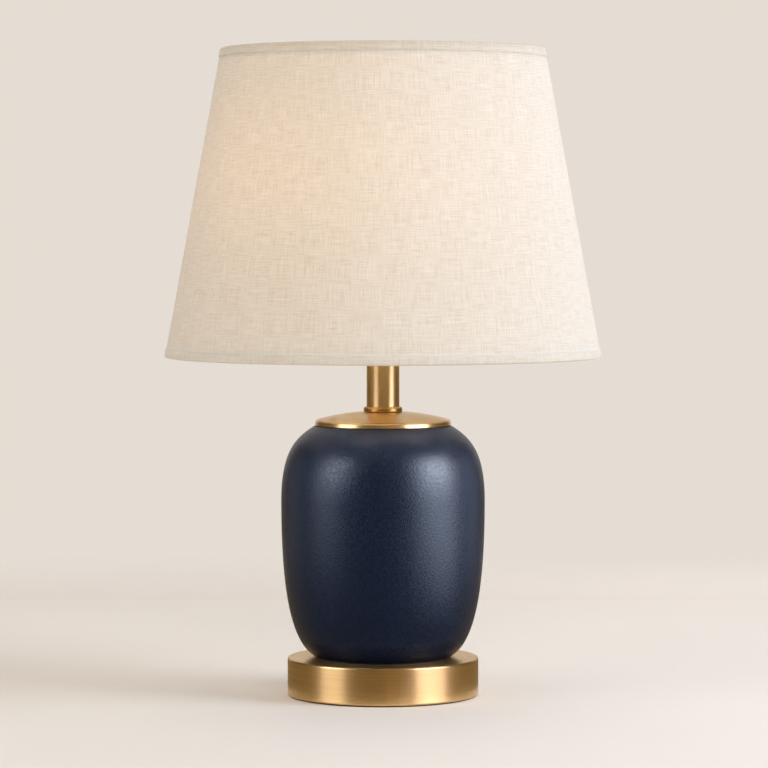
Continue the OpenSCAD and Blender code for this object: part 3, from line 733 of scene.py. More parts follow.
def skin(name: str, rings: Sequence[Sequence[Vector]], cloth: Callable[[int, int], Point] | None = None,
         crease: float = 35.0) -> bpy.types.Object:
    """Skins rings of points, the last one joined to the first, so that the form closes.

    Args:
        name: The piece's name.
        rings: Rings of equal count, or of one point where the form meets its axis.
        cloth: Gives a map point in metres for a ring and a column; columns run to the count itself.
        crease: Angle in degrees over which an edge is shaded sharp.

    Returns:
        The new object, in the scene.
    """
    form = bmesh.new()
    rows = [[form.verts.new(point) for point in ring] for ring in rings]
    layer = form.loops.layers.uv.new("UVMap") if cloth else None
    count = max(len(row) for row in rows)
    for place, row in enumerate(rows):
        after = (place + 1) % len(rows)
        beyond = rows[after]
        if len(row) == 1 and len(beyond) == 1:
            continue
        for column in range(count):
            corners = [(place, column), (place, column + 1), (after, column + 1), (after, column)]
            if len(row) == 1:
                corners = [(place, 0), (after, column + 1), (after, column)]
            elif len(beyond) == 1:
                corners = [(place, column), (place, column + 1), (after, 0)]
            face = form.faces.new([rows[ring][spot % len(rows[ring])] for ring, spot in corners])
            face.smooth = True
            if layer and cloth:
                for loop, (ring, spot) in zip(face.loops, corners):
                    loop[layer].uv = cloth(ring if ring or place != len(rows) - 1 else len(rows), spot)
    bmesh.ops.recalc_face_normals(form, faces=form.faces)
    piece = from_form(name, form)
    piece.data.set_sharp_from_angle(angle=math.radians(crease))
    return piece


def turned(name: str, outline: Sequence[Point], columns: int = 192, crease: float = 35.0) -> bpy.types.Object:
    """Turns a closed outline round the lamp's axis.

    Args:
        name: The piece's name.
        outline: Radius and height of each point, in metres.
        columns: How many columns go round.
        crease: Angle in degrees over which an edge is shaded sharp.

    Returns:
        The new object.
    """
    rings = []
    for radius, height in outline:
        if radius < ON_AXIS:
            rings.append([Vector((0, 0, height))])
            continue
        rings.append([
            Vector((radius * math.sin(turn), -radius * math.cos(turn), height))
            for turn in (2 * math.pi * column / columns for column in range(columns))
        ])
    return skin(name, rings, None, crease)


def arc_points(centre: Point, radius: float, start: float, end: float, steps: int) -> list[Point]:
    """Points of an arc, both ends included, with its angles in degrees."""
    angles = [math.radians(start + (end - start) * step / steps) for step in range(steps + 1)]
    return [(centre[0] + radius * math.cos(angle), centre[1] + radius * math.sin(angle)) for angle in angles]


def curve_points(handles: Sequence[Point], steps: int, first: int = 0) -> tuple[list[Point], list[Point]]:
    """Points of a cubic curve and its unit directions there.

    Args:
        handles: Its start, two handles and end.
        steps: How many steps it is cut into.
        first: The first step to give.

    Returns:
        The points and the directions.
    """
    start, lead, trail, end = (Vector(handle) for handle in handles)
    points, ways = [], []
    for step in range(first, steps + 1):
        t = step / steps
        back = 1 - t
        point = back ** 3 * start + 3 * back * back * t * lead + 3 * back * t * t * trail + t ** 3 * end
        way = back * back * (lead - start) + 2 * back * t * (trail - lead) + t * t * (end - trail)
        points.append((point.x, point.y))
        ways.append(tuple(way.normalized()))
    return points, ways


def settle(piece: bpy.types.Object, material: bpy.types.Material, body: str, slot: str, *nodes: str) -> None:
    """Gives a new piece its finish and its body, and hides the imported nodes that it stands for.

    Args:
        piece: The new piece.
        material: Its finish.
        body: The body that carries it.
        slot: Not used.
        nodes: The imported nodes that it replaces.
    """
    piece.data.materials.append(material)
    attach(piece, body)
    if nodes:
        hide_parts(*nodes)
    log.info("%s: %d faces, on %s", piece.name, len(piece.data.polygons), body)


# ---- the studio


@dataclass
class Camera:
    """The photograph's view: a long lens, a little above the middle of the lamp."""

    place: tuple[float, float, float] = (0.0007, -2.45, 0.330)
    pitch: float = 2.6
    lens: float = 164.06
    sensor: float = 36.0
    clip: tuple[float, float] = (0.05, 60.0)

    def build(self) -> None:
        """Adds the camera and makes it the scene's own."""
        data = bpy.data.cameras.new("view")
        data.lens = self.lens
        data.sensor_width = self.sensor
        data.clip_start, data.clip_end = self.clip
        camera = bpy.data.objects.new("view", data)
        camera.matrix_world = Matrix.Translation(self.place) @ Matrix.Rotation(math.radians(90 - self.pitch), 4, "X")
        bpy.context.collection.objects.link(camera)
        bpy.context.scene.camera = camera
        log.info("camera at %s, %.1f mm", self.place, self.lens)


class Role(Enum):
    """What a lamp of the studio does."""

    LIGHT = "lights the matte surfaces"
    SHINE = "shows in gloss"


class Subject(Enum):
    """What a lamp of the studio is there for."""

    ALL = "everything"
    JAR = "the jar alone"
    NECK = "the neck alone"
    METAL = "everything but the jar and the neck"
    FLOOR = "the floor and the backdrop"


@dataclass(frozen=True)
class Softbox:
    """One flat lamp of the studio, aimed at a height on the bedside lamp's axis."""

    name: str
    role: Role
    azimuth: float
    rise: float
    distance: float
    width: float
    height: float
    power: float
    colour: Colour = (1.0, 1.0, 1.0)
    subject: Subject = Subject.ALL
    aim: float = 0.24

    def build(self) -> bpy.types.Object:
        """Adds the light. Its azimuth is counted from the camera's side towards +X.

        Returns:
            The new light.
        """
        data = bpy.data.lights.new(self.name, "AREA")
        data.shape = "RECTANGLE"
        data.size, data.size_y = self.width, self.height
        data.energy = self.power
        data.color = self.colour
        turn, rise = math.radians(self.azimuth), math.radians(self.rise)
        way = Vector((math.sin(turn) * math.cos(rise), -math.cos(turn) * math.cos(rise), math.sin(rise)))
        light = bpy.data.objects.new(self.name, data)
        place = Vector((0, 0, self.aim)) + self.distance * way
        light.matrix_world = Matrix.Translation(place) @ way.to_track_quat("Z", "Y").to_matrix().to_4x4()
        light.visible_camera = False
        light.visible_glossy = self.role is not Role.LIGHT
        light.visible_diffuse = self.role is not Role.SHINE
        light.visible_transmission = self.role is not Role.SHINE
        bpy.context.collection.objects.link(light)
        log.info("%s %s: %s, at %s", self.name, self.role.value, self.subject.value,
                 tuple(round(part, 2) for part in place))
        return light


@dataclass(frozen=True)
class InnerLight:
    """Faint light inside the shade, which only some of its sheets take up."""

    name: str
    power: float = 0.40
    colour: Colour = (1.0, 0.72, 0.50)
    place: tuple[float, float, float] = (0.0, 0.0, 0.35)
    radius: float = 0.022

    def build(self, sheets: Sequence[bpy.types.Object]) -> None:
        """Adds the light. The sheets that don't take it up let it through.

        Args:
            sheets: The pieces that it lights.
        """
        data = bpy.data.lights.new(self.name, "POINT")
        data.energy = self.power
        data.color = self.colour
        data.shadow_soft_size = self.radius
        light = bpy.data.objects.new(self.name, data)
        light.location = self.place
        light.visible_camera = light.visible_glossy = False
        group = bpy.data.collections.new(self.name)
        for sheet in sheets:
            group.objects.link(sheet)
        light.light_linking.receiver_collection = group
        light.light_linking.blocker_collection = group
        bpy.context.collection.objects.link(light)
        log.info("%s at %s", self.name, self.place)


class Fade(Enum):
    """Where a paper of the studio turns to the plain tone of the air, for whoever looks at it."""

    UP = "above its foot"
    OUT = "far from the lamp"


@dataclass
class Studio:
    """Plain pale floor and backdrop with soft light from both sides."""

    floor_tone: Colour = linear(238, 231, 222)
    wall_tone: Colour = linear(236, 228, 219)
    air_tone: Colour = linear(229, 221, 211)
    gloom: Colour = (0.14, 0.10, 0.06)
    low_gloom: Colour = (0.26, 0.195, 0.105)
    fill: float = 0.22
    fill_tint: Colour = (1.0, 0.98, 0.95)
    wall_y: float = 0.62
    wall_top: float = 3.2
    wall_half: float = 3.0
    floor_reach: float = 12.0
    bare_floor: float = 0.085
    cloth_reach: float = 3.2
    cloth_turns: int = 48
    cloth_z: float = 0.001
    curtain_top: float = 3.4
    sweep: float = 0.35
    sweep_gap: float = 0.0004
    far: tuple[float, float] = (0.8, 1.5)
    foot: tuple[float, float] = (0.0, 0.03)
    low: tuple[float, float] = (0.05, 0.2)
    lights: list[Softbox] = field(default_factory=lambda: [
        Softbox("key", Role.LIGHT, 72, 28, 2.2, 1.2, 1.4, 24, (0.93, 1.03, 1.22)),
        Softbox("front fill", Role.LIGHT, 8, 24, 2.4, 1.4, 1.2, 15.5, (1.0, 0.99, 0.98)),
        Softbox("side fill", Role.LIGHT, -58, 30, 2.2, 1.2, 1.4, 11, (1.0, 0.94, 0.86)),
        Softbox("ceiling", Role.LIGHT, 180, 66, 2.4, 2.2, 1.8, 15),
        Softbox("floor key", Role.LIGHT, 63, 28, 2.2, 0.9, 0.7, 7.0, (1.0, 1.0, 1.0), Subject.FLOOR),
        Softbox("floor back", Role.LIGHT, 175, 58, 1.6, 1.6, 0.8, 0.5, (1.0, 1.0, 1.0), Subject.FLOOR),
        Softbox("right band", Role.SHINE, 60, 14, 2.2, 1.6, 1.7, 56, (0.98, 0.95, 1.12), Subject.METAL),
        Softbox("left band", Role.SHINE, -63, 13, 2.2, 1.25, 1.7, 31, (0.98, 0.98, 1.08), Subject.METAL),
        Softbox("right neck band", Role.SHINE, 63, 14, 2.2, 1.15, 1.7, 20, (0.98, 0.99, 1.3), Subject.NECK),
        Softbox("left neck band", Role.SHINE, -50, 13, 2.2, 1.1, 1.7, 9.8, (0.98, 1.0, 1.2), Subject.NECK),
        Softbox("front warmth", Role.SHINE, 14, 3, 1.5, 0.9, 0.6, 0.34, (1.0, 0.6, 0.22), Subject.METAL),
        Softbox("right gleam", Role.SHINE, 65, 24, 2.2, 1.3, 1.2, 80, (1.16, 0.98, 0.93), Subject.JAR),
        Softbox("left gleam", Role.SHINE, -58, 22, 2.2, 1.05, 1.1, 29, (1.14, 0.97, 0.9), Subject.JAR),
        Softbox("right flank", Role.SHINE, 62, -3, 0.9, 0.75, 0.5, 7.5, (1.08, 0.98, 0.97), Subject.JAR, 0.3),
        Softbox("left flank", Role.SHINE, -66, -3, 0.9, 0.5, 0.5, 1.9, (1.08, 0.98, 0.97), Subject.JAR, 0.3),
        Softbox("low flank", Role.SHINE, 68, -8, 0.32, 0.16, 0.1, 0.09, (1.0, 0.98, 1.0), Subject.JAR, 0.085),
        Softbox("cap bounce", Role.SHINE, 12, 62, 0.09, 0.13, 0.05, 0.038, (1.25, 0.85, 0.7), Subject.JAR, 0.19),
        Softbox("right sheen", Role.SHINE, 110, 2, 0.6, 0.36, 0.5, 0.44, (0.87, 1.0, 1.2), Subject.JAR, 0.12),
        Softbox("left sheen", Role.SHINE, -112, 1, 0.6, 0.36, 0.5, 0.2, (0.98, 0.99, 1.03), Subject.JAR, 0.12),
    ])

    def build(self, jar: bpy.types.Object, neck: Sequence[bpy.types.Object]) -> None:
        """Makes the air, the floor, the backdrop, the dark curtain and the lights.

        Args:
            jar: The glazed jar, which some of the lights are for.
            neck: The neck's pieces, which some others are for.
        """
        self.air()
        floor, wall = self.floor(), self.backdrop()
        self.curtain()
        groups = {Subject.JAR: self.group("jar alone", jar), Subject.NECK: self.group("neck alone", *neck),
                  Subject.METAL: self.group("all but jar and neck", jar, *neck),
                  Subject.FLOOR: self.group("floor and backdrop", floor, wall)}
        for entry in groups[Subject.METAL].collection_objects:
            entry.light_linking.link_state = "EXCLUDE"
        for box in self.lights:
            light = box.build()
            if box.subject in groups:
                light.light_linking.receiver_collection = groups[box.subject]

    @staticmethod
    def group(name: str, *pieces: bpy.types.Object) -> bpy.types.Collection:
        """Puts pieces in a collection of their own, for lights to be linked to.

        Args:
            name: The collection's name.
            pieces: The pieces.

        Returns:
            The collection.
        """
        group = bpy.data.collections.new(name)
        for piece in pieces:
            group.objects.link(piece)
        return group

    def air(self) -> None:
        """Lights the scene evenly, and shows as pale where a view reaches past the backdrop."""
        world = bpy.data.worlds.new("air")
        bpy.context.scene.world = world
        world.use_nodes = True
        bench = NodeBench(world.node_tree)
        seen, _ = bench.sight()
        ground = world.node_tree.nodes["Background"]
        lit = scaled(self.fill_tint, self.fill)
        bench.feed_all(ground, {"Color": bench.blend(seen, lit, self.air_tone), "Strength": 1.0})

    def paint(self, name: str, tone: Colour, fade: Fade) -> bpy.types.Material:
        """A matte paper that can't be seen from behind.

        Args:
            name: The material's name.
            tone: Its colour.
            fade: Where it turns to the tone of the air. Gloss sees its lowest part dim.

        Returns:
            The material.
        """
        material, bench, shader = new_material(name)
        mottle = SHELF.put(bench, Effect.MOTTLE, Cloud_Size=0.4, Speck_Size=0.01)
        bench.feed_all(shader, {
            "Base Color": bench.blend(mottle["Cloud"], scaled(tone, 0.985), tone),
            "Roughness": 0.9,
            "Specular IOR Level": 0.1})
        place = bench.on_object()
        height = bench.place("ShaderNodeSeparateXYZ", {0: place}).outputs[2]
        reach = bench.place("ShaderNodeVectorMath", {0: place}, operation="LENGTH").outputs["Value"]
        seen, gloss = bench.sight()
        plain = bench.step(reach, *self.far)
        if fade is Fade.UP:
            plain = bench.math("MAXIMUM", plain, bench.step(height, *self.foot))
        low = bench.times(gloss, bench.step(height, *self.low, 1.0, 0.0))
        glow = bench.place("ShaderNodeEmission", {
            "Color": bench.blend(low, self.air_tone, self.low_gloom), "Strength": 1.0})
        facing = bench.place("ShaderNodeMixShader", {
            0: bench.times(seen, plain), 1: shader.outputs[0], 2: glow.outputs[0]})
        clear = bench.place("ShaderNodeBsdfTransparent")
        behind = bench.place("ShaderNodeNewGeometry").outputs["Backfacing"]
        shown = bench.place("ShaderNodeMixShader", {0: behind, 1: facing.outputs[0], 2: clear.outputs[0]})
        bench.feed(material.node_tree.nodes["Material Output"].inputs["Surface"], shown.outputs[0])
        return material

    def sheet(self, name: str, points: Sequence[Point], half_width: float, tone: Colour,
              fade: Fade) -> bpy.types.Object:
        """A strip of paper that follows a side view.

        Args:
            name: The piece's name.
            points: Its Y and Z from the near end to the far end.
            half_width: Half its width along X.
            tone: Its colour.
            fade: Where it turns to the tone of the air.

        Returns:
            The new object.
        """
        form = bmesh.new()
        rows = [[form.verts.new((x, y, z)) for x in (-half_width, half_width)] for y, z in points]
        for near, far in zip(rows, rows[1:]):
            form.faces.new((near[0], near[1], far[1], far[0])).smooth = True
        paper = from_form(name, form)
        paper.data.materials.append(self.paint(name, tone, fade))
        return paper

    def floor(self) -> bpy.types.Object:
        """Lays the floor out to every side.

        Returns:
            The floor.
        """
        reach = self.floor_reach
        side = [(-reach, 0.0), (self.wall_y, 0.0), (reach, 0.0)]
        return self.sheet("floor", side, reach, self.floor_tone, Fade.OUT)

    def backdrop(self) -> bpy.types.Object:
        """Stands the backdrop behind the lamp, on a soft curve.

        Returns:
            The backdrop.
        """
        curve = arc_points((self.wall_y, self.sweep + self.sweep_gap), self.sweep, -90, 0, 32)
        wall = self.sheet(
            "backdrop", [*curve, (curve[-1][0], self.wall_top)], self.wall_half, self.wall_tone, Fade.UP)
        wall.visible_shadow = False
        return wall

    def shroud(self, name: str, form: bmesh.types.BMesh, tone: Colour) -> None:
        """Makes a dark cloth of the studio that only gloss shows.

        Args:
            name: Its name.
            form: Its mesh.
            tone: The dim light that it sends back.
        """
        cloth = from_form(name, form)
        material = bpy.data.materials.new(name)
        material.use_nodes = True
        bench = NodeBench(material.node_tree)
        dim = bench.place("ShaderNodeEmission", {"Color": tone, "Strength": 1.0})
        bench.feed(material.node_tree.nodes["Material Output"].inputs["Surface"], dim.outputs[0])
        cloth.data.materials.append(material)
        cloth.visible_camera = cloth.visible_diffuse = cloth.visible_shadow = cloth.visible_transmission = False

    def curtain(self) -> None:
        """Hangs dark cloth round the studio and over it, and lays some on the floor."""
        side = [(0.42, 0.61), (0.62, 0.25), (2.6, 0.25), (3.2, -0.4), (3.2, -3.2), (0.0, -3.2)]
        plan = [(-x, y) for x, y in side] + [(x, y) for x, y in reversed(side[:-1])]
        form = bmesh.new()
        rows = [[form.verts.new((x, y, z)) for x, y in plan] for z in (self.cloth_z, self.curtain_top)]
        for place in range(len(plan) - 1):
            form.faces.new((rows[0][place], rows[0][place + 1], rows[1][place + 1], rows[1][place]))
        form.faces.new(rows[1])
        self.shroud("dark curtain", form, self.gloom)
        form = bmesh.new()
        turns = [2 * math.pi * place / self.cloth_turns for place in range(self.cloth_turns)]
        near, far = ([form.verts.new((reach * math.sin(turn), reach * math.cos(turn), self.cloth_z))
                      for turn in turns] for reach in (self.bare_floor, self.cloth_reach))
        for place in range(self.cloth_turns):
            form.faces.new((near[place], near[place - 1], far[place - 1], far[place]))
        self.shroud("dark floor cloth", form, self.low_gloom)


# ---- the lamp's pieces


@dataclass
class PackedPieces:
    """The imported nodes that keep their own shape, and the finish of each."""

    nodes: dict[str, bpy.types.Object]

    def dress(self, material: bpy.types.Material, names: Iterable[str]) -> None:
        """Gives nodes one finish.

        Args:
            material: The finish.
            names: The nodes' names.
        """
        for name in names:
            node = self.nodes[name]
            if not node.material_slots:
                node.data.materials.append(material)
            for slot in node.material_slots:
                slot.material = material
            log.info("%s: %s", name, material.name)


@dataclass
class FeltPad:
    """Pressed felt under the base, its cut edge a little frayed."""

    radius: float = 0.0648
    thickness: float = 0.002
    edge: float = 0.0005
    fray: float = 0.00012

    def build(self, material: bpy.types.Material) -> None:
        """Makes the pad.

        Args:
            material: The felt.
        """
        side = arc_points((self.radius - self.edge, self.edge), self.edge, -90, 0, 4)
        side += arc_points((self.radius - self.edge, self.thickness - self.edge), self.edge, 0, 90, 4)
        steps = [self.radius * share for share in (0.35, 0.7, 0.9, 0.97)]
        outline = [(0.0, 0.0), *((step, 0.0) for step in steps), *side,
                   *((step, self.thickness) for step in reversed(steps)), (0.0, self.thickness)]
        pad = turned("felt_disc", outline, 256)
        for vertex in pad.data.vertices:
            spot = vertex.co
            if spot.x ** 2 + spot.y ** 2 > (self.radius - self.edge) ** 2:
                pull = self.fray * (noise.noise(spot * 900) - 0.6)
                spot.x *= 1 + pull / self.radius
                spot.y *= 1 + pull / self.radius
        settle(pad, material, "stand", "felt", "felt_pad")


@dataclass
class CeramicJar:
    """The glazed jar: two curves that meet upright at the belly."""

    foot_z: float = 0.0278
    height: float = 0.1616
    belly_radius: float = 0.0714
    belly_height: float = 0.1092
    foot_radius: float = 0.0476
    rim_radius: float = 0.0482
    mouth_radius: float = 0.028
    hole_radius: float = 0.012
    wall: float = 0.005
    foot_handle: Point = (0.853, 0.093)
    belly_handles: Point = (0.434, 0.653)
    rim_handle: Point = (0.578, 0.16)
    steps: int = 72

    def outer_line(self) -> tuple[list[Point], list[Point]]:
        """The jar's outside from foot to rim.

        Returns:
            Its points and its unit directions there.
        """
        foot = (self.foot_radius, self.foot_z)
        belly = (self.belly_radius, self.foot_z + self.belly_height)
        rim = (self.rim_radius, self.foot_z + self.height)
        rise = self.height - self.belly_height
        flank = curve_points((
            foot,
            (foot[0] + self.foot_handle[0] * (belly[0] - foot[0]), foot[1] + self.foot_handle[1] * self.belly_height),
            (belly[0], belly[1] - self.belly_handles[0] * self.belly_height),
            belly), self.steps)
        shoulder = curve_points((
            belly,
            (belly[0], belly[1] + self.belly_handles[1] * rise),
            (rim[0] + self.rim_handle[0] * (belly[0] - rim[0]), rim[1] - self.rim_handle[1] * rise),
            rim), self.steps, 1)
        return flank[0] + shoulder[0], flank[1] + shoulder[1]

    def build(self, material: bpy.types.Material) -> bpy.types.Object:
        """Makes the jar, hollow as it is cast.

        Args:
            material: The glaze.

        Returns:
            The jar.
        """
        outside, ways = self.outer_line()
        top, floor = self.foot_z + self.height, self.foot_z + self.wall
        inside = []
        for (radius, height), (way_r, way_z) in zip(reversed(outside), reversed(ways)):
            spot = (radius - self.wall * way_z, height + self.wall * way_r)
            if floor < spot[1] < top - self.wall and spot[0] > self.mouth_radius:
                inside.append(spot)
        outline = [
            (self.hole_radius, self.foot_z), *outside, (self.mouth_radius, top), (self.mouth_radius, top - self.wall),
            (inside[0][0] - 0.0005, top - self.wall), *inside, (inside[-1][0] - 0.0005, floor),
            (self.hole_radius, floor),
        ]
        jar = turned("glazed_jar", outline, 224, 30)
        settle(jar, material, "stand", "navy_glaze", "ceramic_jar")
        return jar


@dataclass
class JarCap:
    """Spun cap: a low dome with a rolled rim."""

    foot_z: float = 0.1902
    radius: float = 0.0476
    rim_height: float = 0.004
    rise: float = 0.0052
    sheet: float = 0.0012
    edge: float = 0.0024
    flat: float = 0.008
    hole: float = 0.00525
    steps: int = 40

    def dome(self, radius: float) -> float:
        """Height of the dome's top face at a radius."""
        curve = (self.radius - self.edge - self.flat) ** 2 / (2 * self.rise)
        return self.foot_z + self.rim_height + self.rise - max(0.0, radius - self.flat) ** 2 / (2 * curve)

    def build(self, material: bpy.types.Material) -> None:
        """Makes the cap.

        Args:
            material: The spun brass.
        """
        edge_centre = (self.radius - self.edge, self.foot_z + self.rim_height - self.edge)
        radii = [self.hole + (edge_centre[0] - self.hole) * step / self.steps for step in range(self.steps)]
        outline = [(radius, self.dome(radius)) for radius in radii]
        outline += arc_points(edge_centre, self.edge, 90, 0, 16)
        outline += [(self.radius, self.foot_z), (self.radius - self.sheet, self.foot_z)]
        outline += arc_points(edge_centre, self.edge - self.sheet, 0, 90, 12)
        outline += [(radius, self.dome(radius) - self.sheet) for radius in reversed(radii)]
        settle(turned("spun_cap", outline, 224), material, "stand", "cap_brass", "jar_cap")


@dataclass
class BulbEnvelope:
    """Frosted glass of the bulb, thin and hollow."""

    foot_z: float = 0.30885
    neck_radius: float = 0.01275
    radius: float = 0.024
    top_z: float = 0.37485
    wall: float = 0.0009
    meet: float = -36.0
    neck_handle: float = 0.011
    ball_handle: float = 0.012

    def line(self, inset: float) -> list[Point]:
        """The glass's outline.

        Args:
            inset: How far it is set in from the outer face.

        Returns:
            Its points, from the neck to the crown.
        """
        radius = self.radius - inset
        centre = self.top_z - self.radius
        turn = math.radians(self.meet)
        neck = (self.neck_radius - inset, self.foot_z)
        ball = (radius * math.cos(turn), centre + radius * math.sin(turn))
        flare, _ = curve_points((
            neck, (neck[0], neck[1] + self.neck_handle),
            (ball[0] + self.ball_handle * math.sin(turn), ball[1] - self.ball_handle * math.cos(turn)), ball), 20)
        return flare[:-1] + arc_points((0.0, centre), radius, self.meet, 87, 34)

    def build(self, material: bpy.types.Material) -> None:
        """Makes the envelope.

        Args:
            material: The frosted glass.
        """
        outline = [*self.line(0.0), (0.0, self.top_z), (0.0, self.top_z - self.wall), *reversed(self.line(self.wall))]
        settle(turned("bulb_envelope", outline, 96), material, "bulb", "frosted_glass", "bulb_glass")


class Edge(Enum):
    """The two open edges of the shade."""

    TOP = "upper"
    BOTTOM = "lower"


@dataclass
class LinenShade:
    """The shade's linen: a cover with a lapped seam at the back, and a folded hem on each edge."""

    low_z: float = 0.238
    height: float = 0.215
    low_radius: float = 0.1525
    top_radius: float = 0.113
    cover: float = 0.0007
    liner: float = 0.0005
    glue: float = 0.00002
    hem_depth: float = 0.0063
    hem_cloth: float = 0.0005
    ring_radius: float = 0.0015
    ring_gap: float = 0.00012
    seam_width: float = 0.010
    seam_rise: float = 0.00035
    lap_gap: float = 0.0003
    corner: float = 0.0012
    tuck: float = 0.003
    free_from: float = 0.0045
    free_span: float = 0.0018
    fray: float = 0.00012
    hem_shift: Point = (0.31, 0.45)
    columns: int = 360
    rows: int = 60

    def __post_init__(self) -> None:
        """Works out the wall's lean and its length."""
        lean = self.low_radius - self.top_radius
        self.slant = math.hypot(lean, self.height)
        self.sine, self.cosine = lean / self.slant, self.height / self.slant
        self.map_radius = (self.low_radius + self.top_radius) / 2

    def near(self, edge: Edge, down: float, out: float) -> Point:
        """A point near an edge of the shade.

        Args:
            edge: Which edge.
            down: How far from the edge along the wall.
            out: How far outside the linen's face.

        Returns:
            Its radius and height.
        """
        if edge is Edge.TOP:
            return (self.top_radius + down * self.sine + out * self.cosine,
                    self.low_z + self.height - down * self.cosine + out * self.sine)
        return (self.low_radius - down * self.sine + out * self.cosine,
                self.low_z + down * self.cosine + out * self.sine)

    def cover_piece(self) -> bpy.types.Object:
        """The cover: one strip bent round the cone, doubled along its seam at the back.

        Returns:
            The new object.
        """
        inset = self.hem_cloth + self.glue
        half = self.seam_width / 2
        lap_start = self.hem_depth + self.lap_gap
        marks = [inset, lap_start - 0.0001, lap_start + 0.0002]
        span = self.slant - 2 * (lap_start + 0.0002)
        marks += [lap_start + 0.0002 + span * step / self.rows for step in range(1, self.rows + 1)]
        marks += [self.slant - lap_start + 0.0001, self.slant - inset]
        offsets = [half - 0.0002, half + 0.0001]
        spans = self.columns - 4

        def turns(radius: float) -> list[float]:
            """Angles of the columns, counted from the back, where the seam keeps its width.

            Args:
                radius: The ring's radius.

            Returns:
                The angles in radians.
            """
            inner, outer = (offset / radius for offset in offsets)
            sweep = 2 * math.pi - 2 * outer
            return [-inner, inner] + [outer + sweep * step / spans for step in range(spans + 1)]

        rings, seats = [], []
        for out, order in ((0.0, marks), (-self.cover, list(reversed(marks)))):
            for mark in order:
                radius, height = self.near(Edge.TOP, mark, out)
                lapped = out == 0.0 and lap_start <= mark <= self.slant - lap_start
                ring = []
                for place, turn in enumerate(turns(radius)):
                    lift = self.seam_rise if lapped and place < 2 else 0.0
                    reach = radius + lift * self.cosine
                    ring.append(Vector((reach * math.sin(turn), reach * math.cos(turn), height + lift * self.sine)))
                rings.append(ring)
                seats.append(mark)
        seats.append(seats[0])
        usual = turns(self.map_radius)

        def cloth(ring: int, column: int) -> Point:
            """Where a point lies on the flat cloth."""
            turn = usual[column] if column < len(usual) else usual[0] + 2 * math.pi
            return turn * self.map_radius, self.slant - seats[ring]

        return skin("linen_cover", rings, cloth, 60)

    def hem_line(self) -> tuple[list[Point], list[float]]:
        """The folded hem's section: down the outside, over the edge, round the ring and up to the liner.

        Returns:
            Its points as distance down and out, and the cloth's own length at each.
        """
        gap, cloth = self.glue, self.hem_cloth
        back = -self.cover - gap - self.liner - gap
        round_in = self.ring_radius + self.ring_gap
        round_out = round_in + cloth
        centre = (cloth + round_in, -self.cover - gap - self.liner - self.ring_gap - self.ring_radius)
        tuck = centre[0] + 2.6 * self.ring_radius
        tuck_end = tuck + self.tuck
        run = (tuck - centre[0], back - centre[1])
        leave = 360 + math.degrees(math.atan2(run[1], run[0]) - math.acos(round_in / math.hypot(*run)))
        inner = [(self.hem_depth - 0.0002, gap), (self.hem_depth / 2, gap), (cloth + 0.0002, gap)]
        inner += arc_points(centre, round_in, 180, leave, 14)
        inner += [(tuck, back), (tuck_end, back)]
        outer = [(tuck_end, back - cloth), (tuck, back - cloth)]
        outer += arc_points(centre, round_out, leave, 180, 18)
        outer += arc_points((self.corner, gap + cloth - self.corner), self.corner, 180, 90, 8)
        outer += [(self.hem_depth / 2, gap + cloth), (self.hem_depth - 0.0003, gap + cloth),
                  (self.hem_depth, gap + 0.6 * cloth), (self.hem_depth, gap + 0.2 * cloth)]
        line = inner + outer
        lengths, total = [], 0.0
        for place, point in enumerate(line):
            if place:
                total += math.dist(point, line[place - 1])
            lengths.append(total)
        return line, lengths

    def hem_piece(self, edge: Edge) -> bpy.types.Object:
        """One hem, whose turned edge wanders a little, as sewn cloth does.

        Args:
            edge: Which edge of the shade.

        Returns:
            The new object.
        """
        line, lengths = self.hem_line()
        rings = []
        for down, out in line:
            ring = []
            for column in range(self.columns):
                turn = 2 * math.pi * column / self.columns
                spot = Vector((math.sin(turn), math.cos(turn), 0.0))
                loose = max(0.0, (down - self.free_from) / self.free_span) if out > 0 else 0.0
                wander = self.fray * loose * noise.noise(spot * 9 + Vector((0, 0, 3.0)))
                radius, height = self.near(edge, down + wander, out)
                ring.append(Vector((radius * spot.x, radius * spot.y, height)))
            rings.append(ring)
        lengths.append(lengths[-1])

        def cloth(ring: int, column: int) -> Point:
            """Where a point lies on the flat cloth."""
            turn = 2 * math.pi * column / self.columns
            return turn * self.map_radius + self.hem_shift[0], lengths[ring] + self.hem_shift[1]

        return skin(f"{edge.value}_hem_cloth", rings, cloth, 50)

    def cover_lines(self) -> tuple[ClothLine, ...]:
        """Painted shadow under the upper hem, a fainter dark line below it, and a painted highlight over the lower
        one.

        Returns:
            The three lines.
        """
        # Painted shade under the upper hem in the crease colour, and a painted highlight over the lower hem in the
        # light colour.
        crease, light = linear(150, 126, 98), linear(250, 243, 234)
        top = self.slant - self.hem_depth
        return (ClothLine(top - 0.0004, 0.0008, crease, 0.2), ClothLine(top - 0.0018, 0.0005, crease, 0.12),
                ClothLine(self.hem_depth + 0.0006, 0.0008, light, 0.55, 0.2))

    def hem_linen(self, edge: Edge) -> Linen:
        """The linen of a hem, with painted shade in a band along its folded edge, darker still at the fold itself.

        Args:
            edge: Which edge of the shade.

        Returns:
            The finish.
        """
        line, lengths = self.hem_line()
        middle = lengths[line.index((self.hem_depth / 2, self.glue + self.hem_cloth))]
        fold = middle + self.hem_shift[1] - self.hem_depth / 2
        # Painted shade: a darker band along the hem's turned edge, where the cloth rounds over the ring, darker still
        # at the fold.
        band, painted_fold_shade = linear(198, 177, 148), linear(148, 130, 106)
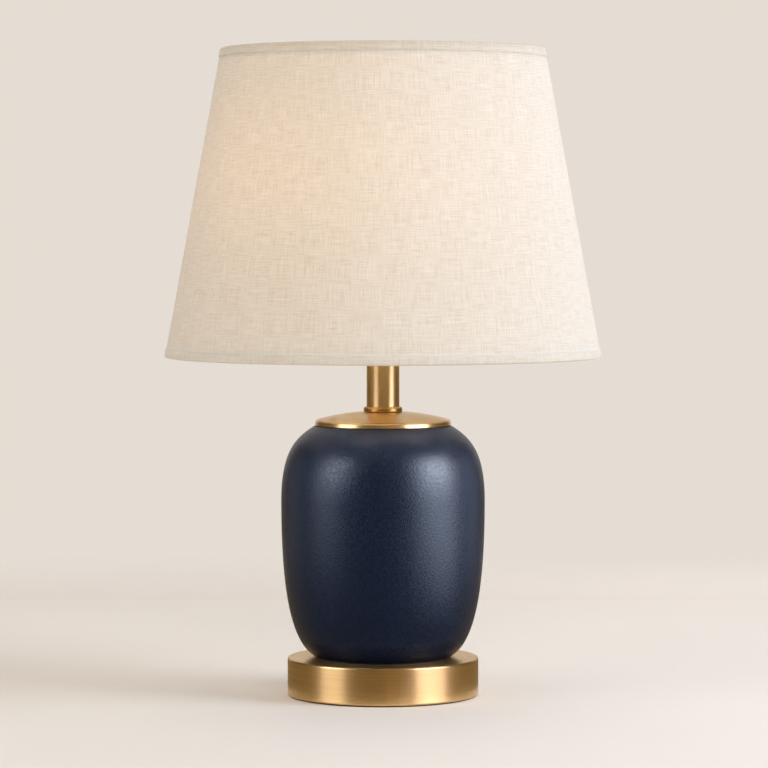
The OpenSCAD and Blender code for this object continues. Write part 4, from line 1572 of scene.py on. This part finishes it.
        # The upper hem's painted shade is stronger than the lower's, and its linen is tinted warmer as painted glow.
        band_shade_share, fold_shade_share, light, dark = {
            Edge.TOP: (0.24, 0.45, linear(246, 233, 216), linear(231, 214, 193)),
            Edge.BOTTOM: (0.1, 0.15, linear(249, 238, 224), linear(234, 220, 202))}[edge]
        lines = (ClothLine(fold, 0.0042, band, band_shade_share, 0.15),
                 ClothLine(fold - 0.0004, 0.0013, painted_fold_shade, fold_shade_share, 0.2))
        return Linen(f"{edge.value} hem linen", lines, light, dark)

    def build(self) -> list[bpy.types.Object]:
        """Makes the cover and both hems.

        Returns:
            The three pieces.
        """
        linen = Linen("linen", self.cover_lines()).build()
        cover = self.cover_piece()
        settle(cover, linen, "shade", "linen", "shade_cover")
        upper = self.hem_piece(Edge.TOP)
        settle(upper, self.hem_linen(Edge.TOP).build(), "shade", "hem_linen", "top_hem")
        lower = self.hem_piece(Edge.BOTTOM)
        settle(lower, self.hem_linen(Edge.BOTTOM).build(), "shade", "hem_linen", "bottom_hem")
        return [cover, upper, lower]


def main() -> None:
    """Builds the camera, the finishes and every piece, then the studio, in that order."""
    logging.basicConfig(level=logging.INFO, format="%(name)s: %(message)s")
    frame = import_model()
    bpy.context.scene.view_settings.view_transform = "Standard"

    Camera().build()

    base_brass = TurnedBrass("base brass").build()
    cap_brass = TurnedBrass("cap brass", linear(220, 186, 130), linear(212, 176, 120), roughness=0.29,
                            swing=0.006, line_depth=0.000001, stretch=0.5).build()
    neck_brass = TurnedBrass("neck brass", linear(206, 162, 94), linear(198, 154, 86), roughness=0.3,
                             swing=0.006, line_depth=0.000001, stretch=0.4).build()
    plated = PlainMetal("plated brass", linear(222, 190, 130), linear(196, 160, 100), 0.26).build()
    steel = PlainMetal("zinc steel", linear(206, 208, 210), linear(170, 172, 176), 0.32).build()
    bulb_metal = PlainMetal("bulb metal", linear(220, 220, 222), linear(188, 188, 192), 0.24).build()
    iron = Moulded("cast iron", linear(78, 78, 80), linear(46, 46, 48), 0.72,
                   cloud=0.01, speck=0.0014, depth=0.0002, bump_strength=0.7).build()
    plastic = Moulded("bush plastic", linear(38, 36, 35), linear(26, 25, 25), 0.55, cloud=0.01, speck=0.0004).build()
    phenolic = Moulded("phenolic", linear(40, 36, 34), linear(24, 22, 21), 0.28,
                       cloud=0.012, speck=0.0005, depth=0.00002, bump_strength=0.3).build()
    rubber = Moulded("gasket rubber", linear(44, 44, 46), linear(30, 30, 32), 0.78, cloud=0.01).build()
    fibre = Moulded("fibre sleeve", linear(206, 190, 160), linear(176, 158, 128), 0.85,
                    cloud=0.006, speck=0.0005).build()
    felt = Moulded("felt", linear(26, 26, 28), linear(12, 12, 14), 0.98, cloud=0.006, speck=0.0005,
                   depth=0.0003, bump_strength=0.9, shine=0.1, sheen=0.4).build()
    phosphor = Moulded("light strip", linear(246, 214, 130), linear(232, 192, 96), 0.4,
                       cloud=0.004, speck=0.0005).build()

    packed = PackedPieces(frame["nodes"])
    packed.dress(base_brass, ("base_cover",))
    packed.dress(neck_brass, ("neck_collar", "neck_tube", "neck_plug", "finial"))
    packed.dress(plated, (
        "harp_saddle", "saddle_nut", "socket_cap", "socket_shell", "terminal_screws", "screw_shell",
        "centre_contact", "switch_spindle", "harp_wire", "harp_hub", "left_ferrule", "right_ferrule",
        "spider_washer", "spider_arms", "top_ring_wire", "bottom_ring_wire"))
    packed.dress(steel, (
        "base_washer", "base_lock_washer", "base_nut", "threaded_rod", "saddle_lock_washer", "socket_set_screw"))
    packed.dress(bulb_metal, ("bulb_contact", "bulb_screw_cap"))
    packed.dress(iron, ("base_weight",))
    packed.dress(plastic, ("cord_inlet_bush",))
    packed.dress(phenolic, ("socket_body", "switch_knob", "bulb_insulator"))
    packed.dress(rubber, ("foot_gasket", "cap_gasket"))
    packed.dress(fibre, ("socket_liner",))
    packed.dress(phosphor, ("bulb_filaments",))
    packed.dress(Glass("clear glass", linear(248, 249, 249), 0.03, 1.0).build(), ("bulb_stem",))
    packed.dress(LinerSheet().build(), ("shade_liner",))

    FeltPad().build(felt)
    jar = CeramicJar().build(NavyGlaze().build())
    JarCap().build(cap_brass)
    BulbEnvelope().build(Glass("frosted glass", linear(250, 249, 246), 0.45, 0.55).build())
    shade = LinenShade().build()
    InnerLight("bulb glow", place=(-0.024, -0.012, 0.352)).build(shade)
    InnerLight("daylight inside", 0.5, (0.58, 0.61, 0.68)).build([frame["nodes"]["shade_liner"]])
    Studio().build(jar, [frame["nodes"][name] for name in ("neck_tube", "neck_collar")])


if __name__ == "__main__":
    main()
